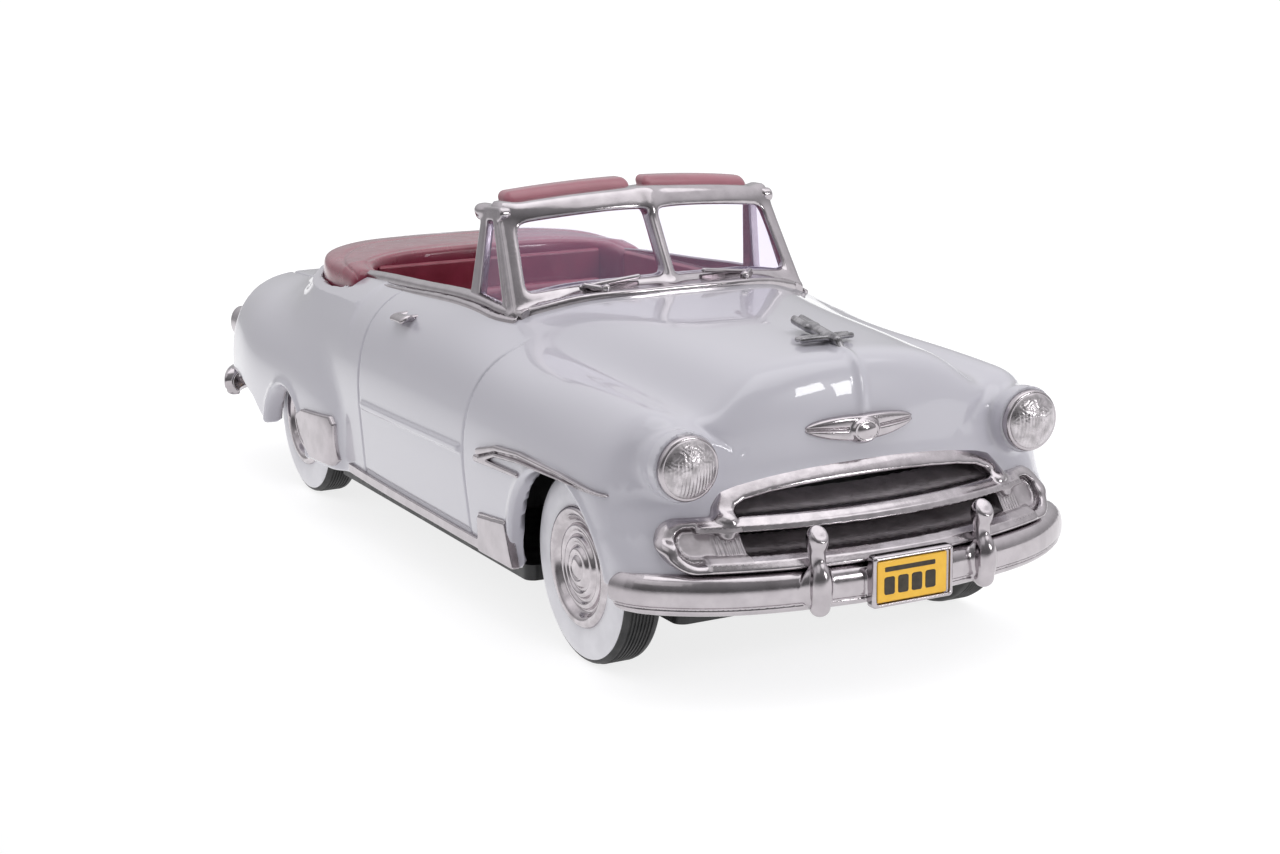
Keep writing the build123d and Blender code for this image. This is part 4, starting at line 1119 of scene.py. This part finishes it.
def headlamp_lens(x, y, z):
    u, v = x - HEADLAMP[0], z - HEADLAMP[1]
    r = np.hypot(u, v)
    dome = np.sqrt(r * r + (y + 49.25) ** 2) - 4.12
    inside = plateau(r, 2.0, 0.08)
    low_half = plateau(v, 0.3, 0.35)
    flutes = 0.028 * np.cos(u * 2 * math.pi / 0.30) * inside * low_half
    across = np.sin(u * 9.5 + 2.0 * np.sin(v * 6.0))
    upward = np.sin(v * 10.5 + 1.5 * np.sin(u * 5.0))
    hammer = 0.022 * across * upward * inside * (1 - low_half)
    form = smax(dome + flutes + hammer, r - 2.3, 0.12)
    return np.maximum(form, y + 51.8)


casting_pair(
    "headlamp_glass", headlamp_lens, (13.6, -54.0, 16.4), (18.8, -51.4, 21.6), 0.08, lens, "headlamp_lens",
    "lamp_lens",
)


def tail_lamp_ring(x, y, z):
    u = np.hypot((x - 17.8) / 1.35, (z - 15.4) / 1.9)
    shell = (u - 1) * 1.35
    body_part = smax(shell, np.maximum(50.5 - y, y - 54.0), 0.35)
    return smax(body_part, -np.maximum((u - 0.78) * 1.35, 53.2 - y), 0.15)


casting_pair(
    "tail_lamp_ring", tail_lamp_ring, (16.0, 50.0, 13.0), (19.6, 54.6, 17.8), 0.13, nickel, "tail_lamp",
    "trim_chrome",
)


def tail_lens(x, y, z):
    u = np.hypot((x - 17.8) / 1.0, (z - 15.4) / 1.5)
    form = smax((u - 1) * 1.0, y - 54.45 + 0.35 * u * u, 0.25)
    form = form + 0.02 * np.cos(z * 2 * math.pi / 0.4)
    return np.maximum(form, 53.1 - y)


casting_both(
    "tail_lens_pair", tail_lens, (16.4, 52.8, 13.5), (19.2, 54.9, 17.3), 0.1, tail_red, "tail_lamp_lenses",
    refine=0,
)

# ---------------------------------------------------------------- grille
GRILLE_LEAN = 0.82


def grille_depth(x, y, z):
    bow = 40.0 - np.sqrt(np.maximum(1600.0 - x * x, 1.0))
    return (y - (-55.75 + GRILLE_LEAN * (z - 12.6) + bow)) / math.hypot(1, GRILLE_LEAN)


ARCH_LINE = [
    (13.3, 13.9), (13.05, 15.1), (12.4, 16.0), (11.3, 16.5), (9.0, 16.9), (6.0, 17.18), (3.0, 17.34),
    (-0.5, 17.38),
]
MIDDLE_BAR = [(-0.55, 13.85), (-0.62, 14.2), (-0.3, 14.45), (2.4, 15.45), (2.6, 13.95), (0.4, 13.7)]
LOWER_BAR = [(-0.55, 11.35), (-0.6, 11.75), (-0.25, 12.0), (2.2, 12.75), (2.4, 11.2), (0.4, 11.05)]


LOOP_Z = 12.9
PARKING_LAMP = 12.2  # x where the parking lamps begin


def inside_loop(ax, z):
    """Plan distance to the opening of the long loop in the middle of the grille."""
    return rod2(ax, z, (0, LOOP_Z), (16.05, LOOP_Z), 1.2)


def grille(x, y, z):
    ax = np.abs(x)
    q = grille_depth(x, y, z)
    loop_outer = rod2(ax, z, (0, LOOP_Z), (16.4, LOOP_Z), 1.88)
    loop_inner = inside_loop(ax, z)
    loop = smax(loop_outer, -loop_inner, 0.4)
    loop = smax(loop, np.abs(q - 0.35) - 0.95, 0.65)
    tip = ellipsoid(ax, q, z, (17.85, -0.2, LOOP_Z), (0.7, 0.55, 0.6))
    middle = smax(polygon(q, z, MIDDLE_BAR) - 0.1, ax - 16.0 + 0.5 * (z - 13), 0.5)
    lower = smax(polygon(q, z, LOWER_BAR) - 0.1, ax - 15.5, 0.5)
    arch = smax(along(ax, z, ARCH_LINE, 0.78), np.abs(q - 0.4) - 1.0, 0.95)
    bead = ellipsoid(ax, q, z, (13.0, -0.3, 14.75), (0.85, 0.65, 0.6))
    form = smin(smin(loop, tip, 0.4), smin(middle, lower, 0.1), 0.3)
    form = smin(form, smin(arch, bead, 0.35), 0.4)
    # parking lamps filling the ends of the loop
    lamp = np.maximum(loop_inner + 0.02, PARKING_LAMP - ax)
    ribs = 0.13 * np.abs(np.cos((ax - 12.3) * math.pi / 0.33)) * plateau(ax, 14.45, 0.04)
    rim = 0.12 * np.exp(-(((loop_inner + 0.3) / 0.09) ** 2)) * plateau(14.5 - ax, 0, 0.1)
    lamp = smax(lamp, np.abs(q - 0.75) - 0.72 - ribs - rim, 0.15)
    return smin(form, lamp, 0.06)


def grille_roughness(points):
    """The recessed faces keep the rough surface of the casting; the front edges are buffed."""
    q = grille_depth(*points.T)
    x, y, z = points.T
    lamp = (np.abs(x) > PARKING_LAMP) & (inside_loop(np.abs(x), z) < 0)
    return np.where(lamp, 0.5, np.clip((q + 0.05) / 0.55, 0, 1))


grille_nickel = Surface("cast_nickel_grille", (0.7, 0.66, 0.64), 0.2, metallic=1.0)
grille_nickel.vary_color(900, (0.44, 0.409, 0.428), (0.54, 0.502, 0.525), 2)
recess = add_node(grille_nickel.tree, "Attribute", {}, attribute_name="recess").outputs["Fac"]
grain = grille_nickel.ramp(grille_nickel.noise(2600, 5), 0.75, 1.25)
depth_rough = grille_nickel.ramp(recess, 0.17, 0.62, (0.0, 1.0))
grille_nickel.link(grille_nickel.combine("MULTIPLY", depth_rough, grain), "Roughness")
grille_nickel.bump(900, 0.00001, 0.1)
grille_nickel.bump(3600, 0.000014, 0.3, 4)
grille_piece = casting(
    "grille_casting", grille, (-19.4, -58.2, 10.2), (19.4, -45.6, 18.9), 0.15, grille_nickel, "grille",
    "trim_chrome",
)
places = np.array([v.co[:] for v in grille_piece.data.vertices]) / MM
recess_data = grille_piece.data.attributes.new("recess", "FLOAT", "POINT")
recess_data.data.foreach_set("value", grille_roughness(places).astype(np.float32))


def backing(x, y, z):
    ax = np.abs(x)
    low = slab(ax, y, z, (8.4, -47.5, 12.8), (8.4, 0.5, 1.5), 0.1)
    high = slab(ax, y, z, (6.3, -47.5, 15.0), (6.5, 0.5, 1.5), 0.1)
    slats = 0.12 * np.cos(z * 2 * math.pi / 0.8)
    return np.minimum(low, high) + slats * plateau(np.abs(y + 48.0), 0.2, 0.05)


casting(
    "grille_shadow_plate", backing, (-17.4, -48.6, 10.9), (17.4, -46.6, 16.9), 0.25, black,
    "grille_backing", "base_black",
)

# ---------------------------------------------------------------- bumpers


def smooth_path(points, count=36):
    """Spline through plan points, mirrored past the middle so that it stays level there."""
    run = [(-points[1][0], points[1][1])] + list(points)
    lengths = [0.0]
    for a, b in zip(run[:-1], run[1:]):
        lengths.append(lengths[-1] + math.hypot(b[0] - a[0], b[1] - a[1]))
    at = np.linspace(lengths[1] * 0.7, lengths[-1], count)
    return np.column_stack([natural_spline(lengths, values, at) for values in zip(*run)])


def off_path(ax, y, path, outward):
    """Signed distance off a plan curve, positive outside, and how far past its end a point is."""
    best = np.full(np.shape(ax), 1e9)
    offset = np.zeros(np.shape(ax))
    past = np.full(np.shape(ax), -1.0)
    last = len(path) - 2
    for i in range(len(path) - 1):
        (u0, v0), (u1, v1) = path[i], path[i + 1]
        du, dv = u1 - u0, v1 - v0
        length = math.hypot(du, dv)
        raw = ((ax - u0) * du + (y - v0) * dv) / (length * length)
        t = np.clip(raw, 0, 1)
        gap = np.hypot(ax - u0 - t * du, y - v0 - t * dv)
        side = ((ax - u0) * dv - (y - v0) * du) / length * outward
        closer = gap < best
        best = np.where(closer, gap, best)
        offset = np.where(closer, side, offset)
        past = np.where(closer, (raw - 1) * length if i == last else -9.0, past)
    return offset, past


FRONT_BLADE = [(0, -58.0), (8, -57.3), (14.6, -55.5), (18.8, -52.9), (20.9, -50.6), (21.6, -48.8)]
REAR_BLADE = [(0, 58.4), (8, 58.0), (14.6, 56.8), (18.8, 54.6), (20.9, 51.8), (21.6, 49.6)]
FRONT_PATH = smooth_path(FRONT_BLADE)
REAR_PATH = smooth_path(REAR_BLADE)


def blade(x, y, z, path, outward, top, low, shift=0.0, grow=0.0):
    ax = np.abs(x - shift)
    d, past = off_path(ax, y, path, outward)
    height = top - low
    middle = low + 0.52 * height
    bulge = (np.abs(d + 1.25) / 1.25) ** 2.2 + (np.abs(z - middle) / (0.5 * height)) ** 2.5
    form = (bulge ** (1 / 2.35) - 1) * 1.15
    lip = low + 0.27 * height
    form = form + 0.13 * np.exp(-(((z - lip) / 0.16) ** 2)) * plateau(-d, 0.9, 0.1)
    form = smax(form, -d - 1.75, 0.3)
    hollow = np.hypot((d + 2.0) / 0.9, (z - middle) / (0.32 * height)) - 1
    form = smax(form, -hollow * 0.8, 0.2)
    cap = np.hypot(np.maximum(past - grow + 1.75, 0), z - middle - 0.1) - 1.78
    return smax(form, cap, 0.4)


def guard(ax, out, z, top):
    """Over-rider: a bulb where it crosses the blade, a waist and a flattened oval head; out is outward."""
    u = ax - 7.75
    column = segment(u, out, z, (0, -0.15, 8.6), (0, -0.75, top - 1.1), 0.66, 0.68)
    bulb = ellipsoid(u, out, z, (0, 0.08, 9.7), (0.93, 0.82, 1.9))
    foot = ellipsoid(u, out, z, (0, -0.15, 8.1), (0.82, 0.78, 0.75))
    head = ellipsoid(u, out, z, (0, -0.55, top - 1.25), (0.88, 0.95, 1.2))
    head = smax(head, (out * 0.72 + (z - top + 0.62) * 0.69) + 0.12, 0.2)
    skirt = ellipsoid(u, out, z, (0, -0.7, 9.6), (1.45, 0.7, 1.7))
    form = smin(smin(column, bulb, 0.5), smin(foot, head, 0.4), 0.35)
    return smin(form, skirt, 0.35)


def front_bumper(x, y, z):
    ax = np.abs(x)
    form = blade(x, y, z, FRONT_PATH, 1, 10.85, 7.45, 0.25, 0.3)
    form = smin(form, guard(ax, -(y + 57.75), z, 14.6), 0.3)
    irons = slab(ax, y, z, (11.0, -54.4, 9.2), (1.0, 1.5, 0.6), 0.2)
    form = smin(form, irons, 0.3)
    holder = slab(x, y, z, (0.2, -58.2, 9.6), (3.78, 0.6, 2.12), 0.35)
    recess = slab(x, y, z, (0.15, -58.9, 9.6), (3.42, 0.36, 1.75), 0.1)
    return smax(smin(form, holder, 0.2), -recess, 0.12)


casting(
    "front_bumper_casting", front_bumper, (-22.6, -59.6, 6.6), (22.6, -47.4, 15.4), 0.17, nickel,
    "front_bumper", "trim_chrome",
)


def rear_bumper(x, y, z):
    ax = np.abs(x)
    form = blade(x, y, z, REAR_PATH, -1, 10.6, 7.3)
    form = smin(form, guard(ax, y - 57.9, z, 13.4), 0.3)
    irons = slab(ax, y, z, (11.0, 56.0, 9.0), (1.0, 1.6, 0.6), 0.2)
    return smin(form, irons, 0.3)


casting(
    "rear_bumper_casting", rear_bumper, (-22.6, 48.4, 6.2), (22.6, 59.6, 14.2), 0.2, nickel, "rear_bumper",
    "trim_chrome",
)


def plate_print(middle, reach, face_y, shift):
    """Generic print: a thin bar over four rounded blocks, standing a hair proud of the plate."""

    def field(x, y, z):
        u, v = x - shift, z - middle
        line = slab(u, v, u * 0, (0, 0.98, 0), (reach * 0.72, 0.2, 1), 0.12)
        marks = np.full(np.shape(x), 1e9)
        for k in range(4):
            marks = np.minimum(marks, slab(u, v, u * 0, ((k - 1.5) * 1.28, -0.34, 0), (0.5, 0.72, 1), 0.22))
        flat = np.minimum(line, marks)
        return np.maximum(flat, np.abs(y - face_y) - 0.05)

    return field


def front_plate(x, y, z):
    return slab(x, y, z, (0.02, -58.65, 9.62), (3.26, 0.1, 1.66), 0.08)


casting(
    "front_plate_sheet", front_plate, (-3.8, -58.95, 7.7), (3.8, -58.4, 11.5), 0.1, yellow, "front_plate",
    "plate_yellow",
)
casting(
    "front_plate_print", plate_print(9.6, 3.3, -58.73, -0.2), (-3.6, -58.85, 7.9), (3.6, -58.6, 11.3), 0.06,
    ink, None, None,
)


def rear_plate(x, y, z):
    form = slab(x, y, z, (0, 55.3, 12.4), (3.68, 0.34, 1.78), 0.15)
    frame_line = np.abs(slab(x, y * 0, z, (0, 0, 12.4), (3.3, 9, 1.4), 0.15)) - 0.1
    return form + 0.05 * plateau(frame_line, 0, 0.03) * plateau(55.4 - y, 0, 0.05)


casting(
    "rear_plate_sheet", rear_plate, (-4.1, 54.7, 10.3), (4.1, 55.9, 14.5), 0.13, yellow, "rear_plate",
    "plate_yellow",
)
casting(
    "rear_plate_print", plate_print(12.4, 3.6, 55.64, 0.0), (-3.6, 55.5, 10.7), (3.6, 55.8, 14.1), 0.06,
    ink, None, None,
)


def trunk_handle(x, y, z):
    grip = segment(x, y, z, (0, 54.3, 15.7), (0, 53.6, 17.6), 0.4, 0.32)
    plate = ellipsoid(x, y, z, (0, 53.4, 15.9), (0.68, 0.9, 0.6))
    root = segment(x, y, z, (0, 52.4, 17.3), (0, 53.6, 17.5), 0.4)
    return smin(smin(grip, plate, 0.3), root, 0.3)


casting(
    "trunk_handle_casting", trunk_handle, (-1.3, 51.4, 14.6), (1.3, 55.4, 18.6), 0.12, nickel,
    "trunk_handle", "trim_chrome",
)

# ---------------------------------------------------------------- wheels


def wheel(axle, name, centre, side):
    """Hub disc, whitewall and tyre of one wheel; side is -1 on the right and 1 on the left."""
    hand = "_left" if side > 0 else "_right"
    tyre = [(15.0, 5.3, 0.1), (15.0, 7.2, 0.5), (15.5, 8.12, 0.5)]
    for rib in range(7):
        x = 15.9 + 0.32 * rib
        tyre += [(x, 8.2, 0), (x + 0.1, 8.2, 0), (x + 0.14, 8.08, 0), (x + 0.24, 8.08, 0)]
    tyre += [(18.25, 8.14, 0.3), (18.6, 7.92, 0.15), (18.6, 7.6, 0.1), (18.3, 7.5, 0), (18.3, 5.3, 0)]
    wall = [
        (18.3, 4.9, 0.05), (18.35, 7.7, 0.1), (18.66, 7.76, 0.12), (18.95, 7.0, 0.6), (18.96, 5.9, 0.5),
        (18.74, 4.95, 0.15),
    ]
    disc = [
        (15.2, 1.0, 0), (15.2, 5.1, 0.2), (18.6, 5.2, 0.05), (18.98, 5.06, 0.15), (19.14, 4.8, 0.15),
        (19.02, 4.3, 0.3), (18.5, 3.9, 0.15),
    ]
    disc += [
        (18.4, 3.65, 0.12), (18.78, 3.5, 0.14), (18.8, 3.15, 0.14), (18.56, 2.95, 0.1), (18.56, 2.7, 0.1),
        (18.92, 2.5, 0.14), (18.94, 2.2, 0.14),
    ]
    disc += [
        (18.72, 2.0, 0.1), (18.72, 1.8, 0.1), (19.04, 1.55, 0.15), (19.06, 1.2, 0.15), (18.92, 1.05, 0.1),
        (19.18, 0.7, 0.3), (19.22, 0.0, 0), (18.0, 0.0, 0), (17.4, 0.9, 0),
    ]
    for label, profile, look, slot, node in (
        ("tyre", tyre, rubber, "tyre_rubber", "tyre"),
        ("whitewall", wall, white_rubber, "whitewall", "whitewall"),
        ("disc", disc, disc_nickel, "trim_chrome", "wheel_disc"),
    ):
        smooth = [(side * x, r) for x, r in rounded_profile(profile, 4)]
        lathe(f"{name}_{label}_ring{hand}", smooth, centre, 96, look, f"{name}_{node}{hand}", axle)


for end, hub in (("front", FRONT_AXLE), ("rear", REAR_AXLE)):
    for hand_side in (-1, 1):
        wheel(end + "_wheelset", end, hub, hand_side)

# ---------------------------------------------------------------- interior


def bench(front_y, back_y, top_z, half_width):
    """Bench seat: a crowned cushion and a leaning back, both sewn in upright channels."""
    base_z = 10.6

    def field(x, y, z):
        ax = np.abs(x)
        length = back_y - front_y
        middle = front_y + 0.45 * length - 0.3
        cushion = slab(x, y, z, (0, middle, base_z + 1.7), (half_width, 0.45 * length, 1.75), 0.95)
        lean = (z - base_z) * 0.10
        back_mid = back_y - 1.35 - 0.55 + lean
        rise = (top_z - base_z) / 2
        back = slab(x, y, z, (0, back_mid, base_z + rise), (half_width, 1.25, rise), 1.05)
        back = back + 0.35 * (ax / half_width) ** 6
        inner = plateau(ax, half_width - 1.3, 0.12)
        raised = (0.16 * np.abs(np.cos(x * math.pi / 1.7)) ** 0.6 - 0.1) * inner
        cushion = cushion - raised * plateau(y, back_mid - 1.2, 0.1) * plateau(front_y + 1.0 - y, 0, 0.1)
        back = back - raised * plateau(z, top_z - 1.6, 0.12)
        reach = half_width - 1.0
        ends = ((-reach, back_y - 1.3, top_z - 0.75), (reach, back_y - 1.3, top_z - 0.75))
        roll = segment(x, y, z, *ends, 0.8)
        return smin(smin(cushion, back, 0.35), roll, 0.25)

    return field


casting(
    "front_bench", bench(-4.6, 6.6, 23.2, 12.8), (-13.6, -6.0, 9.8), (13.6, 7.8, 24.4), 0.22, leather,
    "front_seat", "trim_red",
)
casting(
    "rear_bench", bench(9.8, 19.2, 22.6, 12.4), (-13.2, 8.4, 9.8), (13.2, 20.2, 23.8), 0.22, leather,
    "rear_seat", "trim_red",
)

BOOT_INNER = (14.1, 22.0)


def boot_edges(x, y):
    """Plan distances to the outer and to the inner edge of the folded top's cover."""
    ax = np.abs(x)
    outer = boot_plan(ax, y) + 0.1
    u = ax / BOOT_INNER[0]
    v = np.maximum(y - 16.6, 0) / (BOOT_INNER[1] - 16.6)
    inner = ((u**3.2 + v**3.2 + 1e-9) ** (1 / 3.2) - 1) * 9.0
    return outer, inner


def folded_top(x, y, z):
    outer, inner = boot_edges(x, y)
    plan = smax(smax(outer, -inner, 0.4), 16.4 - y, 1.4)
    share = np.clip(-outer / np.maximum(inner - outer, 0.5), 0, 1)
    ax = np.abs(x)
    crown = 26.9 - 0.75 * np.clip((ax - 8) / 9.0, 0, 1) ** 2 - 0.8 * np.clip((20 - y) / 4.0, 0, 1)
    crown = crown + 0.12 * np.sin(y * 0.5)
    crown = crown - 0.16 * np.exp(-(((share - 0.22) / 0.035) ** 2))
    crown = crown - 0.10 * np.exp(-(((share - 0.8) / 0.05) ** 2)) + 0.05 * np.sin(share * 9 + ax * 0.25)
    form = smax(plan, z - crown, 1.7)
    return np.maximum(form, 21.6 - z)


casting(
    "folded_top_cover", folded_top, (-18.0, 15.6, 21.0), (18.0, 35.0, 28.8), 0.25, red, "folded_top_boot",
    "trim_red", refine=1, angle=20,
)


def tub_block(x, y, z):
    """The outside of the interior moulding."""
    return slab(x, y, z, (0, 2.05, 16.5), (14.9, 18.55, 9.1), 0.3)


def tub(x, y, z):
    ax = np.abs(x)
    room = slab(x, y, z, (0, 2.05, 19.3), (14.05, 17.65, 11.0), 0.5)
    form = smax(tub_block(x, y, z), -room, 0.15)
    dash_gap = np.maximum(ax - 14.0, np.maximum(y + 14.2, 20.2 - z))
    form = np.maximum(form, -dash_gap)
    tunnel = np.maximum(np.hypot(x, z - 8.2) - 2.2, np.abs(y - 1.6) - 17.4)
    form = smin(form, np.maximum(tunnel, 7.5 - z), 0.5)
    arm = ellipsoid(ax, y, z, (14.0, -3.0, 20.2), (0.9, 5.2, 0.8))
    form = smin(form, arm, 0.4)
    card = plateau(np.abs(y + 4.0), 9.0, 0.2) * plateau(np.abs(z - 16.5), 2.6, 0.15)
    card = card * plateau(13.2 - ax, 0, 0.2)
    form = form + 0.14 * card * np.abs(np.cos(y * math.pi / 1.6)) ** 0.5
    carpet = plateau(z, 9.2, 0.2) * 0.03 * np.sin(x * 9) * np.sin(y * 9)
    outer, inner = boot_edges(x, y)
    cover = np.maximum(np.maximum(outer - 0.1, -inner), np.maximum(16.3 - y, 21.5 - z))
    return np.maximum(form + carpet, -cover)


lining = casting(
    "interior_lining", tub, (-15.6, -17.2, 6.8), (15.6, 21.4, 26.4), 0.36, leather, "interior_tub",
    "trim_red",
)
lining.data.materials.append(black.material)
for face in lining.data.polygons:
    px, py, pz = (c / MM for c in face.center)
    face.material_index = int(tub_block(px, py, pz) > -0.35 and pz < 25.2)


def dashboard(x, y, z):
    ax = np.abs(x)
    pad = slab(x, y, z, (0, -17.0, 23.2), (13.9, 2.35, 2.7), 1.3)
    roll = np.hypot(y + 15.5, z - 24.4) - 1.0
    roll = smax(roll, ax - 13.4, 0.6)
    form = smin(pad, roll, 0.7)
    pod = np.hypot(x - 7.0, z - 23.5)
    nacelle = smax(pod - 1.75, np.abs(y + 15.9) - 1.6, 0.4)
    form = smin(form, nacelle, 0.3)
    form = smax(form, -np.maximum(pod - 1.35, -14.75 - y), 0.12)
    glove = np.abs(slab(x, z, x * 0, (-7.5, 22.9, 0), (3.0, 1.25, 1), 0.3)) - 0.08
    speaker = np.maximum(np.abs(x) - 1.9, np.abs(z - 22.8) - 1.3)
    front = plateau(-15.6 - y, 0, 0.2)
    slits = np.abs(np.cos(x * math.pi / 0.5))
    relief = 0.15 * plateau(glove, 0, 0.04) + 0.18 * plateau(speaker, 0, 0.05) * slits
    return smax(form + front * relief, 0.85 - screen_depth(x, y, z), 0.2)


casting(
    "dashboard_panel", dashboard, (-14.6, -20.0, 19.8), (14.6, -13.6, 26.6), 0.17, red, "dashboard",
    "trim_red",
)


def steering_wheel(x, y, z):
    a = x - 7.0
    b = -0.51 * (y + 9.2) + 0.86 * (z - 21.8)
    c = 0.86 * (y + 9.2) + 0.51 * (z - 21.8)
    form = np.hypot(np.hypot(a, b) - 4.55, c) - 0.33 + 0.02 * np.cos(np.arctan2(b, a) * 60)
    for angle in (-5, 185, 270):
        tip = (4.4 * math.cos(math.radians(angle)), 4.4 * math.sin(math.radians(angle)), 0.0)
        form = smin(form, segment(a, b, c, (0, 0, -0.35), tip, 0.34, 0.2), 0.3)
    ring = np.hypot(np.hypot(a, b) - 2.5, c + 0.25) - 0.13
    hub = ellipsoid(a, b, c, (0, 0, -0.3), (1.0, 1.0, 0.55))
    return smin(smin(form, ring, 0.08), hub, 0.3)


wheel_red = Surface("wheel_red_plastic", (0.28, 0.02, 0.04), 0.22, coat=0.8, coat_rough=0.05)
wheel_red.vary_color(300, (0.24, 0.016, 0.034), (0.31, 0.025, 0.048))
wheel_red.vary_roughness(800, 0.18, 0.3)
casting(
    "steering_wheel_rim", steering_wheel, (1.4, -12.6, 16.9), (12.6, -5.8, 26.8), 0.14, wheel_red,
    "steering_wheel", "wheel_red",
)

# ---------------------------------------------------------------- parts that keep their CAD meshes
CAD_LOOKS = {
    "chassis_plate": base_paint,
    "chassis_screws": steel,
    "front_axle": steel,
    "rear_axle": steel,
    "steering_column": steel,
}
for node, finish in CAD_LOOKS.items():
    data = bpy.data.objects[node].data
    data.materials.clear()
    data.materials.append(finish.material)

# ---------------------------------------------------------------- floor, light and camera
floor_mesh = bpy.data.meshes.new("studio_floor")
floor_mesh.from_pydata([(-9, -9, 0), (9, -9, 0), (9, 9, 0), (-9, 9, 0)], [], [(0, 1, 2, 3)])
floor = bpy.data.objects.new("studio_floor", floor_mesh)
SCENE.objects.link(floor)
floor_look = Surface("white_sweep", (0.93, 0.93, 0.94), 0.75, specular=0.2)
# the sweep falls off in shade behind and beside the camera, which is what the plated parts mirror
masks = []
for heading, span in (((-0.62, -0.78, 0), (0.09, 0.2)), ((-0.95, 0.1, 0), (0.045, 0.12))):
    inputs = {0: floor_look.place, 1: heading}
    spot = add_node(floor_look.tree, "VectorMath", inputs, operation="DOT_PRODUCT")
    masks.append(floor_look.ramp(spot.outputs["Value"], 0.0, 1.0, span))
either = floor_look.combine("MAXIMUM", *masks)
floor_look.mix(either, (0.32, 0.32, 0.325), (0.24, 0.24, 0.245))
floor_look.link(floor_look.ramp(either, 0.8, 0.22, (0.0, 1.0)), "Emission Strength")
floor_look.set("Emission Color", (1, 1, 1, 1))
floor_mesh.materials.append(floor_look.material)

world = bpy.data.worlds.new("studio_air")
bpy.context.scene.world = world
world.use_nodes = True
tree = world.node_tree
air = tree.nodes["Background"]
way = tree.nodes.new("ShaderNodeTexCoord").outputs["Generated"]


def world_fade(value, near, far, first, last):
    """Soft change of brightness from first to last as value goes from near to far."""
    inputs = {"From Min": near, "From Max": far, "To Min": first, "To Max": last, "Value": value}
    return add_node(tree, "MapRange", inputs, interpolation_type="SMOOTHSTEP").outputs["Result"]


height = add_node(tree, "SeparateXYZ", {"Vector": way}).outputs["Z"]
toward = add_node(tree, "VectorMath", {0: way, 1: (-0.4, -0.9, -0.1)}, operation="DOT_PRODUCT")
by_height = world_fade(height, -0.05, 0.75, 0.42, 1.0)
by_side = world_fade(toward.outputs["Value"], -0.1, 0.62, 1.0, 0.3)
level = add_node(tree, "Math", {0: by_height, 1: by_side}, operation="MULTIPLY")
tree.links.new(level.outputs["Value"], air.inputs["Strength"])
air.inputs["Color"].default_value = (0.985, 0.98, 1.0, 1)


def soft_light(name, place, target, size, power, color=(1, 1, 1)):
    lamp = bpy.data.lights.new(name, "AREA")
    lamp.shape = "RECTANGLE"
    lamp.size, lamp.size_y = size
    lamp.energy = power
    lamp.color = color
    thing = bpy.data.objects.new(name, lamp)
    SCENE.objects.link(thing)
    thing.location = Vector(place)
    thing.rotation_euler = (Vector(target) - Vector(place)).to_track_quat("-Z", "Y").to_euler()
    return thing


soft_light("overhead", (0.1, -0.12, 0.75), (0, 0, 0.02), (0.7, 0.9), 1.7)
soft_light("left_fill", (-0.55, -0.3, 0.6), (0, 0, 0.02), (0.5, 0.4), 0.28)
soft_light("window_pane_a", (0.215, -0.58, 0.235), (-0.003, -0.0515, 0.023), (0.075, 0.12), 0.3)
soft_light("window_pane_b", (0.305, -0.55, 0.165), (-0.003, -0.0515, 0.023), (0.075, 0.12), 0.3)

camera_data = bpy.data.cameras.new("photo_camera")
camera_data.lens = 59.28
camera_data.sensor_width = 36.0
camera_data.clip_start = 0.01
camera_data.clip_end = 50.0
camera = bpy.data.objects.new("photo_camera", camera_data)
SCENE.objects.link(camera)
right = Vector((0.8831, -0.469, -0.0157))
up = Vector((0.1147, 0.1832, 0.9764))
ahead = Vector((0.455, 0.864, -0.2156))
pose = Matrix((right, up, -ahead)).transposed().to_4x4()
pose.translation = Vector((-0.091688, -0.187926, 0.05655))
camera.matrix_world = pose
bpy.context.scene.camera = camera
bpy.context.scene.view_settings.view_transform = "Standard"
